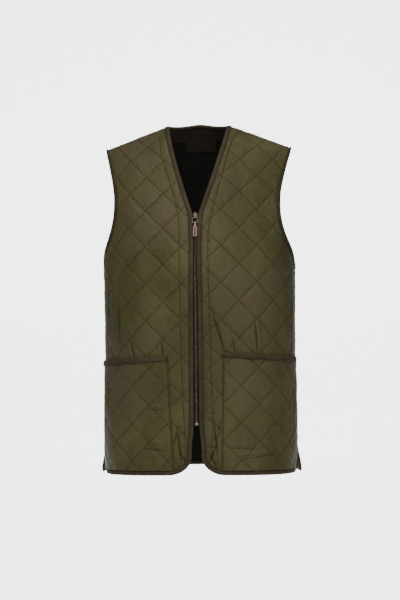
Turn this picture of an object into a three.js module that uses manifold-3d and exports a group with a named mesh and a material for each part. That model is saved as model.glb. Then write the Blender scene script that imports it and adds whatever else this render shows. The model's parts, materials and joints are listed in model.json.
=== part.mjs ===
// A men's quilted vest, filled out with no wearer: two fronts, back, patch pockets, bindings and a zip.
// Millimetres. X is the photo's right, -Y the front, Z up.
// The origin lies midway between the middles of the two shoulder seams.
import * as THREE from "three";
import Module from "manifold-3d";
import { mergeVertices } from "three/addons/utils/BufferGeometryUtils.js";

const wasm = await Module();
wasm.setup();

// Cloth, seams and tape
const WALL = 2.2; // quilted cloth along its stitching
const PUFF = 2.8; // what the wadding adds in the middle of a diamond
const GAP = 0.3; // between two pieces at a seam
const SEAM = GAP / 2;
const TAPE = 0.8;
const FOLD = GAP + TAPE; // from the cloth's cut edge to the outside of its binding
const BAND = 8.6; // width of a binding
const POCKET_WALL = 1.5;
const MOUTH_BAND = 10.4;
const EDGE_STEP = 15; // longest step along a bound edge
const SEAM_STEP = 19;
const FACING_STEP = 13;
const FAR = 400; // beyond all of the cloth
const VENT_IN = FOLD + GAP; // the vents' edges stand back from the side seam by this

// Quilting: square diamonds on their points, in the flat cloth
const HALF_DIAMOND = 36.9;
const PUFF_FADE = 22; // the wadding is flatter than PUFF within this of a seam or binding
const POINT_GAP = 9.2; // between a panel's drawn lines and the quilting's points
const POINT_WEIGHT = 60; // crossings and middles draw the triangles' edges to themselves

// Heights
const HEM = -677;
const HEM_DIP = 4; // how much lower the hem is at the side
const VENT_TOP = -622;
const ARMPIT = -262;
const V_POINT = -157;
const ZIP_END = -577;

// Shoulders, in the front view
const NECK_X = 59.5 + FOLD;
const TIP_X = 190 - FOLD;
const RIDGE_AT_MIDDLE = 46.7; // where the lines of the two shoulders would meet
const RIDGE_ROUND = 15;
const SHOULDER_SLOPE = 0.37;
const NECK_BACK_DEPTH = 44; // seen from above, behind the shoulder seams

// Behind the back's neck: a facing, and a bare patch on it
const FACING = { reach: 66, depth: 42, thickness: 1, share: 0.2, margin: 9 };
const PATCH = { half: 22, below: 6, tall: 44, thickness: 0.8 };

// Zip: the closed teeth's bar, slider, ring, tab and foot stop
const CHAIN = { half: 2.75, low: -3.1, high: -0.6, top: -164, step: 14, aboveEnd: 3 };
const TAPE_BELOW_END = 6;
const SLIDER = {
  topHalf: 5.4, footHalf: 3.9, tall: 12.6, plate: 1.3, front: -0.2, back: -3.5, top: -158,
  crown: 1.6, brow: 0.4, shoulder: 0.36, waist: 0.55,
};
const POST = { half: 1.5, tall: 3, corner: 0.4, bite: 0.5 };
const KNOB = { half: 1.5, up: 1.2, down: 1.4, corner: 0.6, bite: 0.2, out: 1.4 };
const PIVOT = { out: 4.7, down: 10.2 };
const EYE = { inside: 1.3, outside: 2.1, half: 1.3, webFoot: 1.8, webTop: 1.1, webGap: 0.25, bite: 0.4 };
const RING = { half: 5.4, bar: 1.2, drop: 11.2, corner: 2.6, holeCorner: 1.6 };
const TAB = { half: 4, top: 6.9, tall: 21, thickness: 1.6, corner: 1.6 };
const TAB_NECK = { half: 1.8, up: 0.4, bite: 1.5, corner: 0.3 };
const STOP = { half: 3.6, tall: 5, low: -3.4, high: 0.4, cap: 1, corner: 0.8, coreCorner: 0.6 };

// The body's section at a few heights: half width, and depth in front of and behind the side seams
const SECTIONS = [
  { z: -690, halfWidth: 194, front: 138, back: 121 },
  { z: -580, halfWidth: 193, front: 138, back: 118 },
  { z: -440, halfWidth: 191.5, front: 136, back: 113 },
  { z: -340, halfWidth: 192, front: 139, back: 117 },
  { z: -270, halfWidth: 193, front: 141, back: 123 },
  { z: -180, halfWidth: 193, front: 141, back: 124 },
];
const SQUARENESS = 2.5;

// Above its level, a panel leans in to the shoulder seam
const FRONT = { key: "front", sign: -1, level: -290, rise: 1.5, round: 1.7, sideShift: -4 };
const BACK = { key: "back", sign: 1, level: -200, rise: 2.2, round: 2.2, sideShift: 7.5 };

// The largest soft folds of each front: where, how long and wide, and how far out
const FRONT_FOLDS = [
  { side: -1, c: 172, q: -345, length: 110, width: 26, turn: 84, out: 2.6 },
  { side: -1, c: 62, q: -400, length: 70, width: 24, turn: 66, out: 1.8 },
  { side: -1, c: 190, q: -560, length: 120, width: 30, turn: 80, out: 2.2 },
  { side: 1, c: 60, q: -395, length: 80, width: 24, turn: 104, out: 2 },
  { side: 1, c: 120, q: -395, length: 66, width: 24, turn: 98, out: 1.8 },
  { side: 1, c: 196, q: -380, length: 120, width: 28, turn: 88, out: 2.4 },
  { side: 1, c: 110, q: -640, length: 90, width: 22, turn: 176, out: 1.6 },
];
const BACK_FOLDS = [
  { side: 1, c: 150, q: -400, length: 120, width: 30, turn: 70, out: 2.4 },
  { side: 1, c: -140, q: -430, length: 130, width: 30, turn: 108, out: 2.6 },
  { side: 1, c: 20, q: -480, length: 150, width: 34, turn: 92, out: 2 },
];

const radians = (degrees) => (degrees * Math.PI) / 180;
const mix = (a, b, t) => a + (b - a) * t;
const smooth = (t) => {
  const s = Math.min(1, Math.max(0, t));
  return s * s * (3 - 2 * s);
};

// A named column of a table at height z, with smooth steps between its rows.
function column(rows, name, z) {
  const low = rows[0];
  const high = rows[rows.length - 1];
  if (z <= low.z) return low[name];
  if (z >= high.z) return high[name];
  const i = rows.findIndex((row, k) => z >= row.z && z <= rows[k + 1].z);
  const t = (z - rows[i].z) / (rows[i + 1].z - rows[i].z);
  return mix(rows[i][name], rows[i + 1][name], smooth(t));
}

// Cloth length along the section, from the middle to the side, against the section's angle.
function arcTable(depth, halfWidth) {
  const steps = 720;
  const lengths = [0];
  let last = [0, depth];
  for (let i = 1; i <= steps; i++) {
    const angle = ((Math.PI / 2) * i) / steps;
    const here = [
      halfWidth * Math.sin(angle) ** (2 / SQUARENESS),
      depth * Math.max(0, Math.cos(angle)) ** (2 / SQUARENESS),
    ];
    lengths.push(lengths[i - 1] + Math.hypot(here[0] - last[0], here[1] - last[1]));
    last = here;
  }
  return lengths;
}

// The value, as a share of the table, at which the lengths reach a length.
function shareAt(lengths, length) {
  let low = 0;
  let high = lengths.length - 1;
  while (high - low > 1) {
    const middle = (low + high) >> 1;
    if (lengths[middle] <= length) low = middle;
    else high = middle;
  }
  const t = (length - lengths[low]) / (lengths[high] - lengths[low]);
  return (low + t) / (lengths.length - 1);
}

for (const half of [FRONT, BACK]) {
  const chest = (name) => column(SECTIONS, name, half.level);
  half.arc = arcTable(chest(half.key), chest("halfWidth"));
  half.width = half.arc[half.arc.length - 1];
  half.topHalfWidth = chest("halfWidth");
  half.topDepth = chest(half.key);
}

const shoulderZ = (x) => RIDGE_AT_MIDDLE - SHOULDER_SLOPE * Math.hypot(x, RIDGE_ROUND);

// Cloth length up a leaning column, against its angle.
function columnTable(half, depth, rise) {
  const steps = 64;
  const lengths = [0];
  let last = [0, depth];
  for (let i = 1; i <= steps; i++) {
    const angle = ((Math.PI / 2) * i) / steps;
    const here = [
      rise * Math.sin(angle) ** (2 / half.rise),
      depth * Math.max(0, Math.cos(angle)) ** (2 / half.round),
    ];
    lengths.push(lengths[i - 1] + Math.hypot(here[0] - last[0], here[1] - last[1]));
    last = here;
  }
  return lengths;
}

function sectionAngle(half, c) {
  return (Math.PI / 2) * shareAt(half.arc, Math.min(Math.abs(c), half.width));
}

// The seam row: how high up the cloth the shoulder seam is at c.
function ridgeRow(half, c) {
  const angle = sectionAngle(half, c);
  const x = half.topHalfWidth * Math.sin(angle) ** (2 / SQUARENESS);
  const depth = half.topDepth * Math.max(0, Math.cos(angle)) ** (2 / SQUARENESS);
  const table = columnTable(half, depth, shoulderZ(x) - half.level);
  return half.level + table[table.length - 1];
}

// The plain body at cloth place (c, q). Past the side or shoulder seam it mirrors, which keeps slopes true.
function plainPoint(half, c, q) {
  let side = 1;
  let across = Math.abs(c);
  if (across > half.width) {
    across = 2 * half.width - across;
    side = -1;
  }
  const angle = sectionAngle(half, across);
  const shareX = Math.sin(angle) ** (2 / SQUARENESS);
  const shareY = Math.max(0, Math.cos(angle)) ** (2 / SQUARENESS);
  let z = q;
  let x;
  let y;
  if (q <= half.level) {
    // Below the vents' tops the sides of the front go in, and the sides of the back out.
    const low = 1 - smooth((q - HEM) / (VENT_TOP - HEM));
    x = column(SECTIONS, "halfWidth", q) * shareX + half.sideShift * low * shareX ** 8;
    y = column(SECTIONS, half.key, q) * shareY;
  } else {
    x = half.topHalfWidth * shareX;
    const depth = half.topDepth * shareY;
    const rise = shoulderZ(x) - half.level;
    const table = columnTable(half, depth, rise);
    const whole = table[table.length - 1];
    let up = q - half.level;
    if (up > whole) {
      up = 2 * whole - up;
      side = -side;
    }
    const lean = (Math.PI / 2) * shareAt(table, up);
    z = half.level + rise * Math.sin(lean) ** (2 / half.rise);
    y = depth * Math.max(0, Math.cos(lean)) ** (2 / half.round);
  }
  return new THREE.Vector3(Math.sign(c || 1) * x, half.sign * (side * y + SEAM), z);
}

function plainNormal(half, c, q) {
  const e = 0.4;
  const along = plainPoint(half, c + e, q).sub(plainPoint(half, c - e, q));
  const up = plainPoint(half, c, q + e).sub(plainPoint(half, c, q - e));
  return along.cross(up).normalize().multiplyScalar(-half.sign);
}

// Soft folds fade out before the side and shoulder seams.
function foldHeight(half, folds, c, q) {
  const away = half.width - Math.abs(c);
  let height = 0;
  for (const fold of folds) {
    const turn = radians(fold.turn);
    const dc = c - fold.c;
    const dq = q - fold.q;
    const along = (dc * Math.cos(turn) + dq * Math.sin(turn)) / fold.length;
    const across = (-dc * Math.sin(turn) + dq * Math.cos(turn)) / fold.width;
    height += fold.out * Math.exp(-4 * along * along - 4 * across * across);
  }
  return height * smooth(away / 40);
}

// A panel's maker: place(c, q, lift) is the point that lies lift above the wall's inner face.
function clothOf(half, folds, mirror) {
  return (c, q, lift) => {
    const point = plainPoint(half, c, q);
    const normal = plainNormal(half, c, q);
    point.addScaledVector(normal, lift + foldHeight(half, folds, c, q));
    point.x *= mirror;
    return point;
  };
}

// Cloth place of a point given in the front view.
function placeOf(half, x, z) {
  const halfWidth = z <= half.level ? column(SECTIONS, "halfWidth", z) : half.topHalfWidth;
  const share = Math.min(1, Math.abs(x) / halfWidth);
  const angle = Math.asin(share ** (SQUARENESS / 2));
  const steps = half.arc.length - 1;
  const at = (angle / (Math.PI / 2)) * steps;
  const i = Math.min(steps - 1, Math.floor(at));
  const c = mix(half.arc[i], half.arc[i + 1], at - i);
  if (z <= half.level) return new THREE.Vector2(Math.sign(x) * c, z);
  const depth = half.topDepth * Math.max(0, Math.cos(angle)) ** (2 / SQUARENESS);
  const rise = shoulderZ(x) - half.level;
  const table = columnTable(half, depth, rise);
  const up = Math.min(1, (z - half.level) / rise);
  const lean = Math.asin(up ** (half.rise / 2));
  const rung = (lean / (Math.PI / 2)) * (table.length - 1);
  const k = Math.min(table.length - 2, Math.floor(rung));
  return new THREE.Vector2(Math.sign(x) * c, half.level + mix(table[k], table[k + 1], rung - k));
}

// Cloth place of a point of the leaning part given in the view from above.
function placeInPlan(half, x, y) {
  const flat = placeOf(half, x, half.level);
  const share = Math.min(1, Math.abs(x) / half.topHalfWidth) ** SQUARENESS;
  const depth = half.topDepth * (1 - share) ** (1 / SQUARENESS);
  const table = columnTable(half, depth, shoulderZ(x) - half.level);
  const lean = Math.acos(Math.min(1, y / depth) ** (half.round / 2));
  const rung = (lean / (Math.PI / 2)) * (table.length - 1);
  const k = Math.min(table.length - 2, Math.floor(rung));
  return new THREE.Vector2(flat.x, half.level + mix(table[k], table[k + 1], rung - k));
}

// Points along a curve f(0..1) in the flat cloth, no further apart than step.
function stations(f, step) {
  const fine = 160;
  const points = Array.from({ length: fine + 1 }, (_, i) => f(i / fine));
  const lengths = [0];
  for (let i = 1; i <= fine; i++) lengths.push(lengths[i - 1] + points[i].distanceTo(points[i - 1]));
  const count = Math.max(1, Math.ceil(lengths[fine] / step));
  return Array.from({ length: count + 1 }, (_, i) => f(shareAt(lengths, (lengths[fine] * i) / count)));
}

const line = (a, b) => (t) => new THREE.Vector2(mix(a.x, b.x, t), mix(a.y, b.y, t));
const reversed = (f) => (t) => f(1 - t);
const part = (f, from, to) => (t) => f(mix(from, to, t));

function chain(parts, step) {
  const points = [];
  for (const f of parts) {
    const more = stations(f, step);
    points.push(...(points.length ? more.slice(1) : more));
  }
  return points;
}

// The inner border of a bound edge. Its ends lie on the seams that it meets, or square to the edge.
function insetOf(points, width, startAt, endAt) {
  const normals = points.slice(1).map((p, i) => {
    const d = p.clone().sub(points[i]).normalize();
    return new THREE.Vector2(-d.y, d.x);
  });
  return points.map((p, i) => {
    if (i === 0 && startAt) return startAt.clone();
    if (i === points.length - 1 && endAt) return endAt.clone();
    const before = normals[Math.max(0, i - 1)];
    const after = normals[Math.min(normals.length - 1, i)];
    const middle = before.clone().add(after).normalize();
    return p.clone().addScaledVector(middle, width / middle.dot(before));
  });
}

// The place on a seam curve that lies a width away from its start.
function alongSeam(seam, width) {
  let low = 0;
  let high = 1;
  const corner = seam(0);
  for (let i = 0; i < 40; i++) {
    const t = (low + high) / 2;
    if (seam(t).distanceTo(corner) < width) low = t;
    else high = t;
  }
  return low;
}

const cross = (a, b, c) => (b.x - a.x) * (c.y - a.y) - (b.y - a.y) * (c.x - a.x);

function centroid(points, triangle) {
  const [a, b, c] = triangle.map((i) => points[i]);
  return { x: (a.x + b.x + c.x) / 3, y: (a.y + b.y + c.y) / 3 };
}

const nearest = (list, target) =>
  list.reduce((best, p) => (p.distanceTo(target) < best.distanceTo(target) ? p : best));

// Delaunay triangles of weighted points: a heavier point draws the diagonals to itself.
function delaunay(points) {
  const far = 1e5;
  const all = [...points];
  const n = points.length;
  all.push({ x: -far, y: -far, weight: 0 }, { x: far, y: -far, weight: 0 }, { x: 0, y: far, weight: 0 });
  const lift = (p) => p.x * p.x + p.y * p.y - (p.weight ?? 0);
  const inCircle = ([i, j, k], p) => {
    const rows = [all[i], all[j], all[k]].map((q) => [q.x - p.x, q.y - p.y, lift(q) - lift(p)]);
    for (const row of rows) row[2] -= 2 * (p.x * row[0] + p.y * row[1]);
    const [a, b, c] = rows;
    const sum =
      a[0] * (b[1] * c[2] - b[2] * c[1]) -
      a[1] * (b[0] * c[2] - b[2] * c[0]) +
      a[2] * (b[0] * c[1] - b[1] * c[0]);
    return sum > 1e-7;
  };
  let triangles = [[n, n + 1, n + 2]];
  for (let i = 0; i < n; i++) {
    const edges = new Map();
    const kept = [];
    for (const t of triangles) {
      if (!inCircle(t, all[i])) {
        kept.push(t);
        continue;
      }
      for (const [a, b] of [[t[0], t[1]], [t[1], t[2]], [t[2], t[0]]]) {
        if (!edges.delete(b + "," + a)) edges.set(a + "," + b, [a, b]);
      }
    }
    for (const [a, b] of edges.values()) kept.push([a, b, i]);
    triangles = kept;
  }
  return triangles.filter((t) => t.every((i) => i < n));
}

function isInside(loop, x, y) {
  let inside = false;
  for (let i = 0, j = loop.length - 1; i < loop.length; j = i++) {
    const a = loop[i];
    const b = loop[j];
    if (a.y > y !== b.y > y && x < ((b.x - a.x) * (y - a.y)) / (b.y - a.y) + a.x) inside = !inside;
  }
  return inside;
}

function distanceToLines(lines, p) {
  let best = Infinity;
  for (const [a, b] of lines) {
    const d = b.clone().sub(a);
    const t = Math.min(1, Math.max(0, p.clone().sub(a).dot(d) / d.lengthSq()));
    best = Math.min(best, p.distanceTo(a.clone().addScaledVector(d, t)));
  }
  return best;
}

// The stitching's grid: crossings, middles of sides and middles of diamonds, half a diamond's side apart.
function latticeIn(box, quilt) {
  const points = [];
  const reach = 40;
  for (let i = -reach; i <= reach; i++) {
    for (let j = -reach; j <= reach; j++) {
      const x = quilt.c + ((i + j) * HALF_DIAMOND) / 2;
      const y = quilt.q + ((i - j) * HALF_DIAMOND) / 2;
      if (x < box.min.x || x > box.max.x || y < box.min.y || y > box.max.y) continue;
      const middle = Math.abs(i % 2) === 1 && Math.abs(j % 2) === 1;
      const crossing = i % 2 === 0 && j % 2 === 0;
      const point = new THREE.Vector2(x, y);
      point.weight = middle || crossing ? POINT_WEIGHT : 0;
      point.puff = middle ? 1 : 0;
      points.push(point);
    }
  }
  return points;
}

// A panel in the flat cloth. Its border runs counter-clockwise: bound runs have a band, seams have none.
function layPanel(runs, seams, drawn, quilts) {
  const points = [];
  const known = new Map();
  const index = (p) => {
    const key = p.x.toFixed(3) + "," + p.y.toFixed(3);
    if (!known.has(key)) {
      known.set(key, points.length);
      points.push(p);
    }
    return known.get(key);
  };
  const bands = [];
  const loop = [];
  const pushLoop = (i) => {
    if (loop[loop.length - 1] !== i && loop[0] !== i) loop.push(i);
  };
  const bound = runs.map((run) => ({
    edge: run.points.map(index),
    inset: insetOf(run.points, BAND, run.startAt, run.endAt).map(index),
  }));
  runs.forEach((run, r) => {
    const { edge, inset } = bound[r];
    if (run.squareStart) pushLoop(edge[0]);
    inset.forEach(pushLoop);
    if (run.squareEnd) pushLoop(edge[edge.length - 1]);
    for (let k = 0; k + 1 < edge.length; k++) {
      bands.push([edge[k], edge[k + 1], inset[k + 1]], [edge[k], inset[k + 1], inset[k]]);
    }
    seams[r].forEach((p) => pushLoop(index(p)));
  });
  const border = loop.map((i) => points[i]);
  const edgesOf = (list, closed) => {
    const out = [];
    for (let i = 0; i + (closed ? 0 : 1) < list.length; i++) out.push([list[i], list[(i + 1) % list.length]]);
    return out;
  };
  const fixed = edgesOf(border, true);
  for (const path of drawn) {
    path.forEach(index);
    fixed.push(...edgesOf(path.map((p) => points[index(p)]), false));
  }
  const box = new THREE.Box2().setFromPoints(border);
  for (const quilt of quilts) {
    for (const p of latticeIn(box, quilt)) {
      if (!isInside(border, p.x, p.y) || !quilt.holds(p)) continue;
      const away = distanceToLines(fixed, p);
      if (away < POINT_GAP) continue;
      p.puff *= Math.min(1, away / PUFF_FADE);
      index(p);
    }
  }
  const used = new Set([...loop, ...drawn.flat().map(index)]);
  const inner = points.map((p, i) => i).filter((i) => used.has(i) || points[i].puff !== undefined);
  const fill = delaunay(inner.map((i) => points[i]))
    .map((t) => t.map((k) => inner[k]))
    .filter((t) => {
      const middle = centroid(points, t);
      return isInside(border, middle.x, middle.y) && cross(...t.map((i) => points[i])) > 1e-6;
    });
  const have = new Set(fill.flatMap(([a, b, c]) => [[a, b], [b, c], [c, a]].map((e) => e.join())));
  const lost = fixed.filter(([a, b]) => {
    const i = index(a);
    const j = index(b);
    return !have.has(i + "," + j) && !have.has(j + "," + i);
  });
  if (lost.length) {
    const text = lost.map(([a, b]) => [a.x, a.y, b.x, b.y].map((v) => v.toFixed(1)).join(" "));
    throw new Error("edges lost between triangles: " + text.join(" | "));
  }
  return { points, bands, fill, bound };
}

function geometryOf(positions, triangles) {
  const geometry = new THREE.BufferGeometry();
  geometry.setAttribute("position", new THREE.Float32BufferAttribute(positions, 3));
  geometry.setIndex(triangles.flat());
  geometry.computeVertexNormals();
  return geometry;
}

// A closed wall over flat-cloth triangles, from lift low to lift high at each point.
function wall(panel, triangles, cloth, low, high, flip) {
  const used = [...new Set(triangles.flat())];
  const slot = new Map(used.map((i, k) => [i, k]));
  const n = used.length;
  const positions = [];
  for (const lift of [low, high]) {
    for (const i of used) {
      const p = panel.points[i];
      positions.push(...cloth(p.x, p.y, lift(p)).toArray());
    }
  }
  const faces = [];
  const rim = new Map();
  for (const t of triangles) {
    const [a, b, c] = t.map((i) => slot.get(i));
    faces.push([a + n, b + n, c + n], [a, c, b]);
    for (const [i, j] of [[a, b], [b, c], [c, a]]) {
      if (!rim.delete(j + "," + i)) rim.set(i + "," + j, [i, j]);
    }
  }
  for (const [i, j] of rim.values()) faces.push([i, j, j + n], [i, j + n, i + n]);
  return geometryOf(positions, flip ? faces.map(([a, b, c]) => [a, c, b]) : faces);
}

// Corner points of a folded tape's section at one station, from the cloth's edge and the band's inner border.
function tapeSection(edge, inset, cloth, thickness) {
  const short = 1 - GAP / BAND;
  const at = (p, lift) => cloth(p.x, p.y, lift);
  const legEnd = edge.clone().lerp(inset, short);
  const outward = (from, to, by) => from.clone().addScaledVector(from.clone().sub(to), by / BAND);
  const corner = (lift, by) => outward(at(edge, lift), at(inset, lift), by);
  return [
    at(legEnd, -FOLD),
    corner(-FOLD, FOLD),
    corner(thickness + FOLD, FOLD),
    at(legEnd, thickness + FOLD),
    at(legEnd, thickness + GAP),
    corner(thickness + GAP, GAP),
    corner(-GAP, GAP),
    at(legEnd, -GAP),
  ];
}

// Sections joined into one closed body. The end faces are the given quads of a section.
// crossed(s, k) says which quads take the other diagonal, so that a tape's faces lie along its panel's.
function sweepSections(sections, closed, endQuads, flip, crossed = () => false) {
  const size = sections[0].length;
  const count = sections.length;
  const positions = sections.flat().flatMap((p) => p.toArray());
  const faces = [];
  const steps = closed ? count : count - 1;
  for (let s = 0; s < steps; s++) {
    const here = s * size;
    const next = ((s + 1) % count) * size;
    for (let k = 0; k < size; k++) {
      const m = (k + 1) % size;
      if (crossed(s, k)) faces.push([here + k, next + k, here + m], [next + k, next + m, here + m]);
      else faces.push([here + k, next + k, next + m], [here + k, next + m, here + m]);
    }
  }
  if (!closed) {
    const last = (count - 1) * size;
    for (const [a, b, c, d] of endQuads) {
      faces.push([a, b, c], [a, c, d]);
      faces.push([last + a, last + c, last + b], [last + a, last + d, last + c]);
    }
  }
  return geometryOf(positions, flip ? faces.map(([a, b, c]) => [a, c, b]) : faces);
}

const TAPE_ENDS = [[0, 1, 6, 7], [1, 2, 5, 6], [2, 3, 4, 5]];
const alongPanel = (s, k) => [0, 1, 4, 5].includes(k);
const againstPanel = (s, k) => k === 2 || k === 6;
const BAR_ENDS = [[0, 1, 2, 3]];
const MOUTH_ENDS = [[0, 1, 4, 5], [1, 2, 3, 4]];

// Colours and finishes of the pieces
const finish = (color, roughness, metalness = 0) =>
  new THREE.MeshStandardMaterial({ color, roughness, metalness });
const cloth = finish(0x4f4b2f, 0.62);
const bindingTape = finish(0x39321f, 0.8);
const facingCloth = finish(0x3a3422, 0.85);
const zipTape = finish(0x16140d, 0.9);
const brass = finish(0x8a7a52, 0.4, 0.9);
const nickel = finish(0x8c867a, 0.35, 0.95);
const copper = finish(0x7d5a50, 0.45, 0.7);

const vest = new THREE.Group();

function add(parent, name, geometry, material) {
  const mesh = new THREE.Mesh(geometry, material);
  mesh.name = name;
  parent.add(mesh);
  return mesh;
}

// Outlines in the front view
const NECK_BEND = { x: 44 + FOLD, z: -49 };
const FRONT_EDGE = [
  { z: -650, half: 9.8 },
  { z: -630, half: 9.8 },
  { z: -577, half: 5.8 },
  { z: -560, half: 5.3 },
  { z: -331, half: 4.5 },
  { z: -225, half: 3.2 },
  { z: -185, half: 4.2 },
  { z: -157, half: 6.2 },
];
const CORNER = { across: 46, up: 37 };
// How far out the front and back armholes' finished edges are, from the shoulder down to the side seam
const ARMHOLE = [
  { z: -45, front: 183.5, back: 181 },
  { z: -79, front: 174.8, back: 170 },
  { z: -113, front: 168.4, back: 163 },
  { z: -140, front: 167, back: 160.5 },
  { z: -168, front: 169, back: 161.5 },
  { z: -196, front: 175.8, back: 166 },
  { z: -219, front: 184.5, back: 176 },
  { z: -237, front: 190.9, back: 187 },
  { z: -250, front: 192.8, back: 191.8 },
];
const POCKETS = {
  left: { inner: { x: 56, z: -441 }, outer: -456, foot: 43.5 },
  right: { inner: { x: 52.5, z: -434 }, outer: -450, foot: 48 },
};
const QUILTS = {
  left: { panel: { c: 65, q: -335 }, pocket: { c: 95, q: -466 } },
  right: { panel: { c: 87, q: -333 }, pocket: { c: 126, q: -465 } },
  back: { c: 0, q: -330 },
};

const hemRow = (half, c) => HEM - HEM_DIP * smooth(Math.abs(c) / half.width);
const hemCurve = (half, from, to) => (t) => {
  const c = mix(from, to, t);
  return new THREE.Vector2(c, hemRow(half, c));
};
const ridgeCurve = (half, from, to) => (t) => {
  const c = mix(from, to, t);
  return new THREE.Vector2(c, ridgeRow(half, c));
};
const cAt = (half, x) => placeOf(half, x, half.level).x;
const V_TOP_ROW = placeOf(FRONT, FRONT_EDGE[FRONT_EDGE.length - 1].half, V_POINT).y + 1;

// The armhole's edge from the side seam up to the shoulder seam, in the flat cloth.
function armholeCurve(half, side) {
  const rows = ARMHOLE.map((row) => placeOf(half, side * (row[half.key] - FOLD), row.z));
  const tip = side * cAt(half, TIP_X);
  const points = [
    new THREE.Vector2(tip, ridgeRow(half, tip)),
    ...rows,
    new THREE.Vector2(side * (half.width - 12), ARMPIT + 1.6),
    new THREE.Vector2(side * half.width, ARMPIT),
  ].reverse();
  const curve = new THREE.SplineCurve(points);
  return (t) => {
    const p = curve.getPoint(t);
    if (t === 0) p.set(side * half.width, ARMPIT);
    if (t === 1) p.set(tip, ridgeRow(half, tip));
    return p;
  };
}

// One front, drawn as the photo's right one
function frontPanel(name) {
  const pocket = POCKETS[name];
  const half = FRONT;
  const width = half.width;
  const neckC = cAt(half, NECK_X);
  const tipC = cAt(half, TIP_X);
  const edgeX = (z) => column(FRONT_EDGE, "half", z) + FOLD;
  const neckCurve = (t) => {
    const bend = new THREE.QuadraticBezierCurve(
      new THREE.Vector2(NECK_X, shoulderZ(NECK_X)),
      new THREE.Vector2(NECK_BEND.x, NECK_BEND.z),
      new THREE.Vector2(edgeX(V_POINT), V_POINT),
    ).getPoint(t);
    return placeOf(half, bend.x, bend.y);
  };
  const cornerTop = HEM + CORNER.up;
  const frontEdge = (t) => {
    const z = mix(V_POINT, cornerTop, t);
    return placeOf(half, edgeX(z), z);
  };
  const cornerC = edgeX(cornerTop) + CORNER.across;
  const corner = (t) => {
    const turn = (Math.PI / 2) * t;
    const c = cornerC - CORNER.across * Math.cos(turn);
    const foot = hemRow(half, cornerC);
    return new THREE.Vector2(c, foot + (cornerTop - foot) * (1 - Math.sin(turn)));
  };
  const footC = cAt(half, pocket.foot);
  const ventFoot = new THREE.Vector2(width - 4, hemRow(half, width));
  const ventTop = new THREE.Vector2(width - VENT_IN, VENT_TOP - VENT_IN);
  const hem = hemCurve(half, cornerC, ventFoot.x);
  const edges = chain([neckCurve, frontEdge, corner, hem, line(ventFoot, ventTop)], EDGE_STEP);
  const shoulder = ridgeCurve(half, tipC, neckC);
  const tipShare = alongSeam(shoulder, BAND);
  const neckShare = 1 - alongSeam(reversed(shoulder), BAND);
  const side = (t) => new THREE.Vector2(width, mix(VENT_TOP, ARMPIT, t));
  const sideEnd = 1 - BAND / (ARMPIT - VENT_TOP);
  const mouthShare = (pocket.outer - VENT_TOP) / (ARMPIT - VENT_TOP);
  const sideSeam = chain([part(side, 0, mouthShare), part(side, mouthShare, sideEnd)], SEAM_STEP);
  const shoulderSeam = stations(part(shoulder, tipShare, neckShare), SEAM_STEP);
  const armhole = chain([armholeCurve(half, 1)], EDGE_STEP);
  const mouth = {
    inner: placeOf(half, pocket.inner.x, pocket.inner.z),
    outer: new THREE.Vector2(width, pocket.outer),
  };
  return {
    half,
    edges,
    armhole,
    runs: [
      { points: edges, startAt: shoulder(neckShare), squareEnd: true },
      { points: armhole, startAt: side(sideEnd), endAt: shoulder(tipShare) },
    ],
    seams: [sideSeam, shoulderSeam],
    mouth,
    footC,
  };
}

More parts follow.
